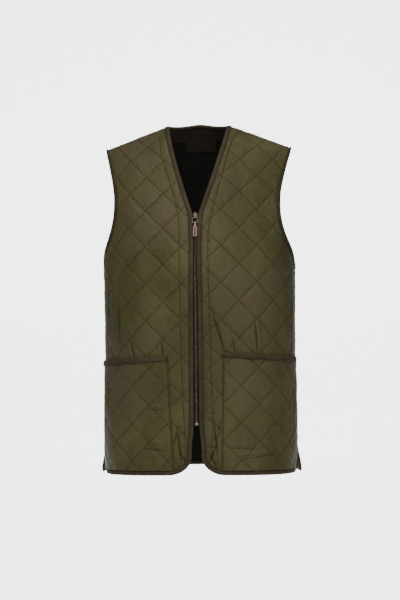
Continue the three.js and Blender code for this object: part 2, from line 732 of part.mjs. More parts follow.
function buildFront(name, mirror) {
  const plan = frontPanel(name);
  const { half, mouth } = plan;
  const insets = insetOf(plan.edges, BAND, plan.runs[0].startAt);
  const foot = nearest(insets, new THREE.Vector2(plan.footC, hemRow(half, plan.footC) + BAND));
  const innerEdge = stations(line(mouth.inner, foot), EDGE_STEP);
  const mouthLine = stations(line(mouth.inner, mouth.outer), EDGE_STEP);
  const onPocket = (p) => {
    const t = (p.x - mouth.inner.x) / (mouth.outer.x - mouth.inner.x);
    const top = mix(mouth.inner.y, mouth.outer.y, t);
    const s = (p.y - foot.y) / (mouth.inner.y - foot.y);
    return p.y < top && p.x > mix(foot.x, mouth.inner.x, s);
  };
  const marks = QUILTS[name];
  const panel = layPanel(plan.runs, plan.seams, [innerEdge, mouthLine], [
    { ...marks.panel, holds: (p) => !onPocket(p) },
    { ...marks.pocket, holds: onPocket },
  ]);
  const folds = FRONT_FOLDS.filter((fold) => fold.side === mirror);
  const place = clothOf(half, folds, mirror);
  const flip = mirror < 0;
  const pocketTriangles = panel.fill.filter((t) => onPocket(centroid(panel.points, t)));
  const underPocket = new Set(pocketTriangles.flat());
  const puff = (p) => PUFF * (p.puff ?? 0);
  const outer = (p) => WALL + (underPocket.has(panel.points.indexOf(p)) ? 0 : puff(p));
  const triangles = [...panel.fill, ...panel.bands];
  add(vest, "front_" + name, wall(panel, triangles, place, () => 0, outer, flip), cloth);
  const seat = WALL + GAP;
  const pocketTop = (p) => seat + POCKET_WALL + puff(p);
  add(vest, "pocket_" + name, wall(panel, pocketTriangles, place, () => seat, pocketTop, flip), cloth);

  // The mouth's binding lies on the pocket and turns over its top edge.
  const slope = mouth.outer.clone().sub(mouth.inner).normalize();
  const down = new THREE.Vector2(slope.y, -slope.x);
  const under = seat + POCKET_WALL + PUFF + GAP;
  const over = under + TAPE;
  const mouthSections = mouthLine.map((p) => {
    const above = p.clone().addScaledVector(down, -FOLD);
    const overEdge = p.clone().addScaledVector(down, -GAP);
    const below = p.clone().addScaledVector(down, MOUTH_BAND);
    for (const q of [above, overEdge, below]) q.x = Math.min(q.x, half.width);
    return [
      place(above.x, above.y, seat),
      place(above.x, above.y, over),
      place(below.x, below.y, over),
      place(below.x, below.y, under),
      place(overEdge.x, overEdge.y, under),
      place(overEdge.x, overEdge.y, seat),
    ];
  });
  add(vest, "pocket_binding_" + name, sweepSections(mouthSections, false, MOUTH_ENDS, !flip), bindingTape);

  const edgeBand = panel.bound[0];
  const tapeSections = edgeBand.edge.map((i, k) =>
    tapeSection(panel.points[i], panel.points[edgeBand.inset[k]], place, WALL),
  );
  const tape = sweepSections(tapeSections, false, TAPE_ENDS, flip, alongPanel);
  add(vest, "binding_front_" + name, tape, bindingTape);

  // The zip's tape hangs behind the front edge, one section for each of the edge's stations.
  const tapeHigh = -FOLD - GAP;
  const tapeLow = tapeHigh - TAPE;
  const beside = CHAIN.half + GAP;
  const zipSections = plan.edges
    .filter((p) => p.x < CORNER.across && p.y < V_TOP_ROW && p.y > ZIP_END - TAPE_BELOW_END)
    .map((p) => [
      place(beside, p.y, tapeLow),
      place(p.x + BAND, p.y, tapeLow),
      place(p.x + BAND, p.y, tapeHigh),
      place(beside, p.y, tapeHigh),
    ]);
  add(vest, "zip_tape_" + name, sweepSections(zipSections, false, BAR_ENDS, !flip), zipTape);
  return { plan, panel, place };
}

const left = buildFront("left", -1);
const right = buildFront("right", 1);

// The back, both halves in one, with c positive to the photo's right
function buildBack() {
  const half = BACK;
  const width = half.width;
  const neckC = cAt(half, NECK_X);
  const tipC = cAt(half, TIP_X);
  const footC = width - 3;
  const vent = (side) =>
    line(
      new THREE.Vector2(side * footC, hemRow(half, footC)),
      new THREE.Vector2(side * (width - VENT_IN), VENT_TOP - VENT_IN),
    );
  const hemRun = chain([reversed(vent(-1)), hemCurve(half, -footC, footC), vent(1)], EDGE_STEP);
  const shoulder = (side) => ridgeCurve(half, side * tipC, side * neckC);
  const tipShare = alongSeam(shoulder(1), BAND);
  const neckShare = 1 - alongSeam(reversed(shoulder(1)), BAND);
  // Seen from above, the back of the neck is half an oval.
  const neck = (t) => {
    const turn = Math.PI * t;
    const x = NECK_X * Math.cos(turn);
    if (t === 0 || t === 1) return shoulder(t === 0 ? 1 : -1)(1);
    return placeInPlan(half, x, NECK_BACK_DEPTH * Math.sin(turn) ** 0.9);
  };
  const neckRun = chain([neck], EDGE_STEP * 0.8);
  const armRight = chain([armholeCurve(half, 1)], EDGE_STEP);
  const armLeft = chain([reversed(armholeCurve(half, -1))], EDGE_STEP);
  const side = (sign) => (t) => new THREE.Vector2(sign * width, mix(VENT_TOP, ARMPIT, t));
  const sideEnd = 1 - BAND / (ARMPIT - VENT_TOP);
  const runs = [
    { points: hemRun, squareStart: true, squareEnd: true },
    { points: armRight, startAt: side(1)(sideEnd), endAt: shoulder(1)(tipShare) },
    { points: neckRun, startAt: shoulder(1)(neckShare), endAt: shoulder(-1)(neckShare) },
    { points: armLeft, startAt: shoulder(-1)(tipShare), endAt: side(-1)(sideEnd) },
  ];
  const seams = [
    stations(part(side(1), 0, sideEnd), SEAM_STEP),
    stations(part(shoulder(1), tipShare, neckShare), SEAM_STEP),
    stations(part(shoulder(-1), neckShare, tipShare), SEAM_STEP),
    stations(part(side(-1), sideEnd, 0), SEAM_STEP),
  ];

  // The facing runs round the neck, and drops in the middle to hold the patch.
  const neckMiddle = placeInPlan(half, 1e-6, NECK_BACK_DEPTH).y;
  const patchTop = neckMiddle - BAND - PATCH.below;
  const patchFoot = patchTop - PATCH.tall;
  const facingFoot = neckMiddle - FACING.depth;
  const dropHalf = PATCH.half + FACING.margin;
  const dropFoot = patchFoot - FACING.margin;
  const corners = (...pairs) => pairs.map(([x, y]) => new THREE.Vector2(x, y));
  const lineThrough = (points, step) => chain(points.slice(1).map((p, i) => line(points[i], p)), step);
  const patchArea = corners(
    [PATCH.half, patchTop], [PATCH.half, patchFoot], [-PATCH.half, patchFoot], [-PATCH.half, patchTop],
  );
  const patchLine = lineThrough([...patchArea, patchArea[0]], FACING_STEP);
  const facingEnd = shoulder(1)(mix(neckShare, tipShare, FACING.share));
  const facingStart = nearest(seams[1], facingEnd);
  const facingFinish = nearest(seams[2], new THREE.Vector2(-facingEnd.x, facingEnd.y));
  const facingLine = lineThrough([
    facingStart,
    ...corners(
      [FACING.reach, facingFoot], [dropHalf, facingFoot], [dropHalf, dropFoot],
      [-dropHalf, dropFoot], [-dropHalf, facingFoot], [-FACING.reach, facingFoot],
    ),
    facingFinish,
  ], FACING_STEP);
  const facingArea = [...facingLine, ...corners([-FAR, FAR], [FAR, FAR])];
  const panel = layPanel(runs, seams, [patchLine, facingLine], [{ ...QUILTS.back, holds: () => true }]);
  const place = clothOf(half, BACK_FOLDS, 1);
  const outer = (p) => WALL + PUFF * (p.puff ?? 0);
  add(vest, "back", wall(panel, [...panel.fill, ...panel.bands], place, () => 0, outer, true), cloth);

  const within = (area) =>
    panel.fill.filter((t) => {
      const middle = centroid(panel.points, t);
      return isInside(area, middle.x, middle.y);
    });
  const sheet = (name, triangles, from, thickness) =>
    add(vest, name, wall(panel, triangles, place, () => from - thickness, () => from, true), facingCloth);
  sheet("neck_facing", within(facingArea), -GAP, FACING.thickness);
  sheet("neck_patch", within(patchArea), -2 * GAP - FACING.thickness, PATCH.thickness);

  const tapeAlong = (name, run) => {
    const sections = run.edge.map((i, k) =>
      tapeSection(panel.points[i], panel.points[run.inset[k]], place, WALL),
    );
    add(vest, name, sweepSections(sections, false, TAPE_ENDS, true, alongPanel), bindingTape);
  };
  tapeAlong("binding_back_hem", panel.bound[0]);
  tapeAlong("binding_back_neck", panel.bound[2]);
  return { panel, place };
}

const back = buildBack();

// Each armhole's binding is one ring, from the side seam up the front and down the back.
function armholeRing(name, front, backRun, mirror) {
  const sectionsOf = (cut, run) =>
    run.edge.map((i, k) => tapeSection(cut.panel.points[i], cut.panel.points[run.inset[k]], cut.place, WALL));
  const up = sectionsOf(front, front.panel.bound[1]);
  let down = sectionsOf(back, backRun);
  if (mirror > 0) down = down.reverse();
  const between = (a, b) => a.map((p, k) => p.clone().lerp(b[k], 0.5));
  const top = between(up[up.length - 1], down[0]);
  const bottom = between(up[0], down[down.length - 1]);
  const ring = [bottom, ...up.slice(1, -1), top, ...down.slice(1, -1)];
  const turned = (s) => mirror > 0 && s >= up.length - 1;
  const crossed = (s, k) => (turned(s) ? againstPanel(s, k) : alongPanel(s, k));
  add(vest, "armhole_binding_" + name, sweepSections(ring, true, [], mirror < 0, crossed), bindingTape);
}

armholeRing("left", left, back.panel.bound[3], -1);
armholeRing("right", right, back.panel.bound[1], 1);

// The zip: its chain follows the front's middle, a bar as thick as the closed teeth.
const chainTopRow = placeOf(FRONT, 1e-6, CHAIN.top).y;
const chainBottomRow = ZIP_END + CHAIN.aboveEnd;
const middlePlace = clothOf(FRONT, [], 1);
const chainSections = stations(
  line(new THREE.Vector2(0, chainTopRow), new THREE.Vector2(0, chainBottomRow)),
  CHAIN.step,
).map((p) => [
  middlePlace(-CHAIN.half, p.y, CHAIN.low),
  middlePlace(CHAIN.half, p.y, CHAIN.low),
  middlePlace(CHAIN.half, p.y, CHAIN.high),
  middlePlace(-CHAIN.half, p.y, CHAIN.high),
]);
add(vest, "zip_chain", sweepSections(chainSections, false, BAR_ENDS, true), brass);

// A slab cut to an outline that is drawn in X and Z. It runs out of the cloth, from one height to another.
function slab(shape, from, to) {
  const options = { depth: to - from, bevelEnabled: false, curveSegments: 6 };
  const geometry = new THREE.ExtrudeGeometry(shape, options);
  geometry.rotateX(Math.PI / 2);
  geometry.translate(0, -from, 0);
  return geometry;
}

function roundedBox(half, high, low, corner) {
  const shape = new THREE.Shape();
  shape.moveTo(-half + corner, low);
  shape.lineTo(half - corner, low);
  shape.quadraticCurveTo(half, low, half, low + corner);
  shape.lineTo(half, high - corner);
  shape.quadraticCurveTo(half, high, half - corner, high);
  shape.lineTo(-half + corner, high);
  shape.quadraticCurveTo(-half, high, -half, high - corner);
  shape.lineTo(-half, low + corner);
  shape.quadraticCurveTo(-half, low, -half + corner, low);
  return shape;
}

// A plate across the hardware: its outline is drawn as (back, up), and it runs to a half width each way.
function across(shape, half) {
  const options = { depth: 2 * half, bevelEnabled: false, curveSegments: 8 };
  const geometry = new THREE.ExtrudeGeometry(shape, options);
  geometry.translate(0, 0, -half);
  const axes = new THREE.Matrix4().makeBasis(
    new THREE.Vector3(0, 1, 0),
    new THREE.Vector3(0, 0, 1),
    new THREE.Vector3(1, 0, 0),
  );
  return geometry.applyMatrix4(axes);
}

// An eye around an axis along X, at height z and a distance out.
function eye(half, axis) {
  const shape = new THREE.Shape();
  shape.absarc(-axis.out, axis.z, EYE.outside, 0, 2 * Math.PI);
  const hole = new THREE.Path();
  hole.absarc(-axis.out, axis.z, EYE.inside, 0, 2 * Math.PI, true);
  shape.holes.push(hole);
  return across(shape, half);
}

function solid(geometry) {
  const bare = geometry.index ? geometry.toNonIndexed() : geometry.clone();
  bare.deleteAttribute("normal");
  bare.deleteAttribute("uv");
  const merged = mergeVertices(bare, 1e-4);
  return new wasm.Manifold(
    new wasm.Mesh({
      numProp: 3,
      vertProperties: merged.attributes.position.array,
      triVerts: new Uint32Array(merged.index.array),
    }),
  );
}

function join(geometries) {
  const whole = geometries.map(solid).reduce((a, b) => a.add(b));
  const mesh = whole.getMesh();
  const geometry = new THREE.BufferGeometry();
  geometry.setAttribute("position", new THREE.Float32BufferAttribute(mesh.vertProperties, 3));
  geometry.setIndex([...mesh.triVerts]);
  geometry.computeVertexNormals();
  return geometry;
}

// A hardware frame on the cloth's middle: its Z runs up the cloth and -Y out of it.
function frameAt(row) {
  const group = new THREE.Group();
  const normal = plainNormal(FRONT, 1e-3, row);
  group.position.copy(plainPoint(FRONT, 1e-3, row));
  group.position.x = 0;
  group.rotation.x = -Math.atan2(normal.z, -normal.y);
  vest.add(group);
  return group;
}

// Slider: two plates on a post, with an eye for the ring, and a knob on top
const sliderFrame = frameAt(placeOf(FRONT, 1e-6, SLIDER.top).y);
const waist = -SLIDER.tall * SLIDER.waist;
const shoulder = -SLIDER.tall * SLIDER.shoulder;
const plateShape = new THREE.Shape();
plateShape.moveTo(-SLIDER.footHalf, -SLIDER.tall);
plateShape.lineTo(SLIDER.footHalf, -SLIDER.tall);
plateShape.quadraticCurveTo(SLIDER.footHalf, waist, SLIDER.topHalf, shoulder);
plateShape.quadraticCurveTo(SLIDER.topHalf, -SLIDER.brow, SLIDER.crown, 0);
plateShape.lineTo(-SLIDER.crown, 0);
plateShape.quadraticCurveTo(-SLIDER.topHalf, -SLIDER.brow, -SLIDER.topHalf, shoulder);
plateShape.quadraticCurveTo(-SLIDER.footHalf, waist, -SLIDER.footHalf, -SLIDER.tall);
const ringAxis = { out: PIVOT.out, z: -PIVOT.down };
const webOut = PIVOT.out - EYE.inside - EYE.webGap;
const webIn = SLIDER.front + EYE.bite;
const web = new THREE.Shape([
  new THREE.Vector2(-webIn, ringAxis.z - EYE.webFoot),
  new THREE.Vector2(-webOut, ringAxis.z - EYE.webTop),
  new THREE.Vector2(-webOut, ringAxis.z + EYE.webTop),
  new THREE.Vector2(-webIn, ringAxis.z + EYE.webFoot),
]);
const post = roundedBox(POST.half, 0, -POST.tall, POST.corner);
const knob = roundedBox(KNOB.half, KNOB.up, -KNOB.down, KNOB.corner);
const slider = join([
  slab(plateShape, SLIDER.front, SLIDER.front + SLIDER.plate),
  slab(plateShape, SLIDER.back - SLIDER.plate, SLIDER.back),
  slab(post, SLIDER.back - POST.bite, SLIDER.front + POST.bite),
  slab(knob, SLIDER.front + KNOB.bite, SLIDER.front + SLIDER.plate + KNOB.out),
  eye(EYE.half, ringAxis),
  across(web, EYE.half),
]);
add(sliderFrame, "zip_slider", slider, nickel);

// Ring and tab hang from the slider, each in its own group at its pivot.
const ringPivot = new THREE.Group();
ringPivot.position.set(0, -PIVOT.out, ringAxis.z);
sliderFrame.add(ringPivot);
const ringShape = roundedBox(RING.half, RING.bar / 2, -RING.drop - RING.bar / 2, RING.corner);
const ringHole = roundedBox(RING.half - RING.bar, -RING.bar / 2, -RING.drop + RING.bar / 2, RING.holeCorner);
ringShape.holes.push(new THREE.Path(ringHole.getPoints(6).reverse()));
add(ringPivot, "pull_link", slab(ringShape, -RING.bar / 2, RING.bar / 2), nickel);

const tabPivot = new THREE.Group();
tabPivot.position.set(0, 0, -RING.drop);
ringPivot.add(tabPivot);
const tabBody = roundedBox(TAB.half, -TAB.top, -TAB.top - TAB.tall, TAB.corner);
const neckTop = -EYE.inside - TAB_NECK.up;
const tabNeck = roundedBox(TAB_NECK.half, neckTop, -TAB.top - TAB_NECK.bite, TAB_NECK.corner);
const tab = join([
  slab(tabBody, -TAB.thickness / 2, TAB.thickness / 2),
  slab(tabNeck, -TAB.thickness / 2, TAB.thickness / 2),
  eye(TAB_NECK.half, { out: 0, z: 0 }),
]);
add(tabPivot, "pull_tab", tab, copper);

// The stop at the zip's foot, clamped over both tapes below the chain
const stopFrame = frameAt(chainBottomRow - GAP);
const stop = join([
  slab(roundedBox(CHAIN.half, 0, -STOP.tall, STOP.coreCorner), STOP.low, STOP.high),
  slab(roundedBox(STOP.half, 0, -STOP.tall, STOP.corner), STOP.high - STOP.cap, STOP.high),
]);
add(stopFrame, "zip_bottom_stop", stop, nickel);

export default vest;
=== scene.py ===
"""A men's quilted vest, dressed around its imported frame: quilted panels and pockets, folded bindings,
a metal zip, a dark lining, studio light and the photo's camera. Lengths are in millimetres until a mesh
is made; the frame is X to the photo's right, -Y to the front, Z up, origin between the shoulder seams."""
import json
import math

import bmesh
import bpy
import numpy as np
from mathutils import Matrix, Vector

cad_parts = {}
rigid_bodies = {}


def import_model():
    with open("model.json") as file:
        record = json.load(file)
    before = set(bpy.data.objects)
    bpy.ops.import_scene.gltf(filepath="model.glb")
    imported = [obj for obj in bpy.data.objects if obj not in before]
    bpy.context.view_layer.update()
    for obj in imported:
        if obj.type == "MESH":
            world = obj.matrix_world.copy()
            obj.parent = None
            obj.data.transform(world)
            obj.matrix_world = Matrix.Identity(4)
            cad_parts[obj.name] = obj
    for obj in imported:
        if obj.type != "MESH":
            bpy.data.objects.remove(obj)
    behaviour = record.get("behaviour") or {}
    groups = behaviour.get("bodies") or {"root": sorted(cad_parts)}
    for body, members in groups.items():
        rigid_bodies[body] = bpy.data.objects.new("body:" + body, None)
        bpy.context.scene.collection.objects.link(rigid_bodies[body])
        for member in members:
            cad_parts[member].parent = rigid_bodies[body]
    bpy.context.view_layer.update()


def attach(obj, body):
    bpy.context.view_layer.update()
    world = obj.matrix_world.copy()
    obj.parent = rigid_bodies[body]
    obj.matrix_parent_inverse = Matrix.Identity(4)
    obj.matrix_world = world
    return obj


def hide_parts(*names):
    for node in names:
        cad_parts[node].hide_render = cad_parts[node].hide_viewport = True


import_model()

MM = 0.001
TOOTH_SEED = 20

# Cloth and tape
WALL = 2.2
PUFF = 2.9
GAP = 0.3
SEAM = GAP / 2
TAPE = 0.8
FOLD = GAP + TAPE
BAND = 8.6
TAPE_ROW = 1.9
POCKET_WALL = 1.5
MOUTH_BAND = 10.4
VENT_IN = FOLD + GAP
HALF_DIAMOND = 36.9
STITCH_SPACING = HALF_DIAMOND * math.sqrt(2)
SEAM_TUCK = 0.4

# Heights and widths
HEM = -677
HEM_DIP = 4
VENT_TOP = -622
ARMPIT = -262
V_POINT = -157
ZIP_END = -577
NECK_X = 59.5 + FOLD
TIP_X = 190 - FOLD
RIDGE_AT_MIDDLE = 46.7
RIDGE_ROUND = 15
SHOULDER_SLOPE = 0.37
NECK_BACK_DEPTH = 44
SQUARENESS = 2.5
SECTIONS = {
    "z": [-690, -580, -440, -340, -270, -180],
    "half_width": [194, 193, 191.5, 192, 193, 193],
    "front": [138, 138, 136, 139, 141, 141],
    "back": [121, 118, 113, 117, 123, 124],
}
FRONT_EDGE = {
    "z": [-650, -630, -577, -560, -331, -225, -185, -157],
    "half": [9.8, 9.8, 5.8, 5.3, 4.5, 3.2, 4.2, 6.2],
}
NECK_BEND = (44 + FOLD, -49)
CORNER_ACROSS = 46
CORNER_UP = 37
FRONT_VENT_IN = 4
BACK_VENT_IN = 3
ARMHOLE = {
    "z": [-45, -79, -113, -140, -168, -196, -219, -237, -250],
    "front": [183.5, 174.8, 168.4, 167, 169, 175.8, 184.5, 190.9, 192.8],
    "back": [181, 170, 163, 160.5, 161.5, 166, 176, 187, 191.8],
}
POCKETS = {
    "left": {"inner": (56, -441), "outer": -456, "foot": 43.5},
    "right": {"inner": (52.5, -434), "outer": -450, "foot": 48},
}
# Where two stitched lines cross on each panel, as (c, q), and the seed of its swells
QUILTING = {
    "front_left": {"phase": (65, -335), "seed": 7},
    "front_right": {"phase": (87, -333), "seed": 3},
    "pocket_left": {"phase": (95, -466), "seed": 17},
    "pocket_right": {"phase": (126, -465), "seed": 13},
    "back": {"phase": (0, -330), "seed": 23},
}


def smooth(t):
    """Eases from 0 to 1: three squares less two cubes."""
    t = np.clip(t, 0, 1)
    return t * t * (3 - 2 * t)


def mix(a, b, t):
    """a where t is 0, b where it is 1, and in between in proportion."""
    return a + (b - a) * t


def column(rows, name, z):
    """Value of a table's column at height z, easing from row to row."""
    heights = np.asarray(rows["z"], float)
    values = np.asarray(rows[name], float)
    z = np.clip(z, heights[0], heights[-1])
    i = np.clip(np.searchsorted(heights, z, side="right") - 1, 0, len(heights) - 2)
    t = (z - heights[i]) / (heights[i + 1] - heights[i])
    return mix(values[i], values[i + 1], smooth(t))


def cosine(angle):
    """The cosine, never below 0."""
    return np.maximum(0, np.cos(angle))


def run_lengths(line):
    """Length along a line up to each of its points: the running sum of its steps."""
    return np.concatenate([[0], np.cumsum(np.linalg.norm(np.diff(line, axis=0), axis=1))])


# How finely the half body's tables of lengths are worked out
SECTION_SAMPLES = 721
COLUMN_SAMPLES = 260
LEAN_SAMPLES = 65


class Half:
    """One half of the body, front or back of the side seams.

    The section is a superellipse; c is the cloth's length round it from the middle. Up to a level the cloth
    is upright and its row q is the height. Above it each column leans in to the shoulder seam along a
    superellipse of its own, and q goes on as the length up that column."""

    def __init__(self, key, sign, level, rise, roundness, side_shift):
        self.key, self.sign, self.level = key, sign, level
        self.rise, self.roundness, self.side_shift = rise, roundness, side_shift
        self.top_half_width = float(column(SECTIONS, "half_width", level))
        self.top_depth = float(column(SECTIONS, key, level))
        self.angles = np.linspace(0, np.pi / 2, SECTION_SAMPLES)
        x = self.top_half_width * np.sin(self.angles) ** (2 / SQUARENESS)
        y = self.top_depth * cosine(self.angles) ** (2 / SQUARENESS)
        self.arc = np.concatenate([[0], np.cumsum(np.hypot(np.diff(x), np.diff(y)))])
        self.width = float(self.arc[-1])
        self.columns_c = np.linspace(0, self.width, COLUMN_SAMPLES)
        angle = self.section_angle(self.columns_c)
        x = self.top_half_width * np.sin(angle) ** (2 / SQUARENESS)
        depth = self.top_depth * cosine(angle) ** (2 / SQUARENESS)
        self.leans = np.linspace(0, np.pi / 2, LEAN_SAMPLES)
        up = (shoulder_z(x) - level)[:, None] * np.sin(self.leans) ** (2 / rise)
        out = depth[:, None] * cosine(self.leans) ** (2 / roundness)
        steps = np.hypot(np.diff(up, axis=1), np.diff(out, axis=1))
        self.lengths = np.concatenate([np.zeros((len(x), 1)), np.cumsum(steps, axis=1)], axis=1)

    def section_angle(self, c):
        """The section's own angle at cloth length c, looked up in its table of lengths."""
        return np.interp(np.minimum(np.abs(c), self.width), self.arc, self.angles)

    def column_lengths(self, c):
        """Length table of the leaning columns at each c, mixed from the two nearest stored ones."""
        at = np.clip(np.abs(c) / self.width, 0, 1) * (len(self.columns_c) - 1)
        i = np.minimum(at.astype(int), len(self.columns_c) - 2)
        t = (at - i)[:, None]
        return mix(self.lengths[i], self.lengths[i + 1], t)

    def lean_at(self, c, up):
        """Angle on the leaning column at cloth length up, by a search in each column's table."""
        table = self.column_lengths(c)
        up = np.clip(up, 0, table[:, -1])
        k = np.clip((table <= up[:, None]).sum(axis=1) - 1, 0, table.shape[1] - 2)
        rows = np.arange(len(up))
        low, high = table[rows, k], table[rows, k + 1]
        return (k + (up - low) / (high - low)) * (np.pi / 2) / (table.shape[1] - 1)

    def ridge_row(self, c):
        """The row of the shoulder seam: the level plus the column's whole length."""
        c = np.atleast_1d(np.asarray(c, float))
        return self.level + self.column_lengths(c)[:, -1]

    def point(self, c, q):
        """The inner face at cloth place (c, q), mirrored past the side and shoulder seams."""
        across = np.abs(c)
        side = np.where(across > self.width, -1.0, 1.0)
        across = np.where(across > self.width, 2 * self.width - across, across)
        angle = self.section_angle(across)
        share_x = np.sin(angle) ** (2 / SQUARENESS)
        share_y = cosine(angle) ** (2 / SQUARENESS)
        low = 1 - smooth((q - HEM) / (VENT_TOP - HEM))
        x = column(SECTIONS, "half_width", q) * share_x + self.side_shift * low * share_x**8
        y = column(SECTIONS, self.key, q) * share_y
        z = np.array(q, float)
        high = q > self.level
        if high.any():
            whole = self.column_lengths(across[high])[:, -1]
            up = q[high] - self.level
            over = up > whole
            up = np.where(over, 2 * whole - up, up)
            side[high] = np.where(over, -side[high], side[high])
            lean = self.lean_at(across[high], up)
            x[high] = self.top_half_width * share_x[high]
            rise = shoulder_z(x[high]) - self.level
            z[high] = self.level + rise * np.sin(lean) ** (2 / self.rise)
            y[high] = self.top_depth * share_y[high] * cosine(lean) ** (2 / self.roundness)
        return np.stack([np.where(c < 0, -x, x), self.sign * (side * y + SEAM), z], axis=1)

    def normal(self, c, q, step=0.4):
        """Outward normal: the cross product of the differences over a small step each way."""
        across = self.point(c + step, q) - self.point(c - step, q)
        up = self.point(c, q + step) - self.point(c, q - step)
        n = np.cross(across, up) * -self.sign
        return n / np.linalg.norm(n, axis=1, keepdims=True)

    def mixed_length(self, c, lean):
        """Cloth length up the columns at a lean, mixed from the two nearest lengths in their tables."""
        table = self.column_lengths(c)
        at = lean / (np.pi / 2) * (table.shape[1] - 1)
        k = np.minimum(at.astype(int), table.shape[1] - 2)
        rows = np.arange(len(c))
        return mix(table[rows, k], table[rows, k + 1], at - k)

    def place_of(self, x, z):
        """Cloth place of a point given in the front view, by both superellipses turned round."""
        x, z = (np.atleast_1d(np.asarray(v, float)) for v in (x, z))
        x, z = np.broadcast_arrays(x, z)
        wide = np.where(z <= self.level, column(SECTIONS, "half_width", z), self.top_half_width)
        angle = np.arcsin(np.minimum(1, np.abs(x) / wide) ** (SQUARENESS / 2))
        c = np.interp(angle, self.angles, self.arc)
        rise = shoulder_z(x) - self.level
        up = np.clip((z - self.level) / rise, 0, 1)
        lean = np.arcsin(up ** (self.rise / 2))
        q = self.level + self.mixed_length(c, lean)
        return np.stack([np.where(x < 0, -c, c), np.where(z <= self.level, z, q)], axis=1)

    def place_in_plan(self, x, y):
        """Cloth place of a point of the leaning part given from above, by its column's superellipse."""
        c = self.place_of(x, np.full_like(x, self.level))[:, 0]
        depth = self.top_depth * (1 - (np.abs(x) / self.top_half_width) ** SQUARENESS) ** (1 / SQUARENESS)
        lean = np.arccos(np.minimum(1, y / depth) ** (self.roundness / 2))
        return np.stack([c, self.level + self.mixed_length(c, lean)], axis=1)


def shoulder_z(x):
    """Height of the shoulder seam: a hyperbola, round at the neck and straight further out."""
    return RIDGE_AT_MIDDLE - SHOULDER_SLOPE * np.hypot(x, RIDGE_ROUND)


FRONT = Half("front", sign=-1, level=-290, rise=1.5, roundness=1.7, side_shift=-4)
BACK = Half("back", sign=1, level=-200, rise=2.2, roundness=2.2, side_shift=7.5)


# Outlines in the flat cloth: each is a list of (c, q) along the edge
def hem_row(half, c):
    """The hem's row: it dips towards the side seams."""
    return HEM - HEM_DIP * smooth(np.abs(c) / half.width)


def along(points, count=None, step=None):
    """The same line with evenly spaced points, by straight steps between its own."""
    lengths = run_lengths(points)
    if count is None:
        count = max(2, int(math.ceil(lengths[-1] / step)) + 1)
    at = np.linspace(0, lengths[-1], count)
    return np.stack([np.interp(at, lengths, points[:, k]) for k in (0, 1)], axis=1)


def spline(points, per_span=24):
    """A smooth curve through the points: a cubic for each span, whose slope at a point is half the step
    between that point's neighbours, with the end points doubled."""
    p = np.vstack([points[:1], points, points[-1:]])
    t = np.linspace(0, 1, per_span, endpoint=False)[:, None]
    spans = []
    for i in range(1, len(p) - 2):
        a, b, c, d = p[i - 1], p[i], p[i + 1], p[i + 2]
        v0, v1 = (c - a) / 2, (d - b) / 2
        spans.append((2 * b - 2 * c + v0 + v1) * t**3 + (-3 * b + 3 * c - 2 * v0 - v1) * t**2 + v0 * t + b)
    return np.vstack([*spans, points[-1:]])


def edge_x(z):
    """How far a front's edge stands from the middle, inside its tape."""
    return column(FRONT_EDGE, "half", z) + FOLD


def c_at(half, x):
    """Cloth length from the middle to a distance across."""
    return float(half.place_of(x, half.level)[0, 0])


ARMPIT_FLAT = (12, 1.6)


def armhole_edge(half):
    """From the side seam up to the shoulder seam: a curve through the table's rows, level at the armpit."""
    rows = half.place_of(np.array(ARMHOLE[half.key]) - FOLD, np.array(ARMHOLE["z"], float))
    tip = c_at(half, TIP_X)
    beside = [half.width - ARMPIT_FLAT[0], ARMPIT + ARMPIT_FLAT[1]]
    points = np.vstack([[tip, half.ridge_row(tip)[0]], rows, beside, [half.width, ARMPIT]])
    return spline(points[::-1])


def shoulder_line(half, count):
    """The shoulder seam in the flat, from its tip to the neck."""
    c = np.linspace(c_at(half, TIP_X), c_at(half, NECK_X), count)
    return np.stack([c, half.ridge_row(c)], axis=1)


def side_seam(half):
    """The straight seam between the vent and the armpit."""
    return np.array([[half.width, VENT_TOP], [half.width, ARMPIT]])


def front_outline():
    """The lines round a front: the neck is a quadratic curve, the front edge follows its table, the corner
    is a quarter ellipse, then come the hem, the vent, the side seam, the armhole and the shoulder seam."""
    half = FRONT
    t = np.linspace(0, 1, 120)
    start = np.array([NECK_X, shoulder_z(NECK_X)])
    bend, end = np.array(NECK_BEND), np.array([edge_x(V_POINT), V_POINT])
    curve = ((1 - t) ** 2)[:, None] * start + (2 * t * (1 - t))[:, None] * bend + (t**2)[:, None] * end
    neck = half.place_of(curve[:, 0], curve[:, 1])
    top = HEM + CORNER_UP
    z = np.linspace(V_POINT, top, 300)
    edge = half.place_of(edge_x(z), z)
    corner_c = edge_x(top) + CORNER_ACROSS
    foot = float(hem_row(half, corner_c))
    turn = np.linspace(0, np.pi / 2, 60)
    corner_q = foot + (top - foot) * (1 - np.sin(turn))
    corner = np.stack([corner_c - CORNER_ACROSS * np.cos(turn), corner_q], axis=1)
    c = np.linspace(corner_c, half.width - FRONT_VENT_IN, 200)
    hem = np.stack([c, hem_row(half, c)], axis=1)
    vent = np.array([hem[-1], [half.width - VENT_IN, VENT_TOP - VENT_IN]])
    shoulder = shoulder_line(half, 120)
    neck[0] = shoulder[-1]
    bound = np.vstack([neck, edge[1:], corner[1:], hem[1:], along(vent, 30)[1:]])
    return {"bound": bound, "side": side_seam(half), "armhole": armhole_edge(half), "shoulder": shoulder,
            "neck": neck, "edge": edge, "corner": corner, "hem": hem, "vent": vent}


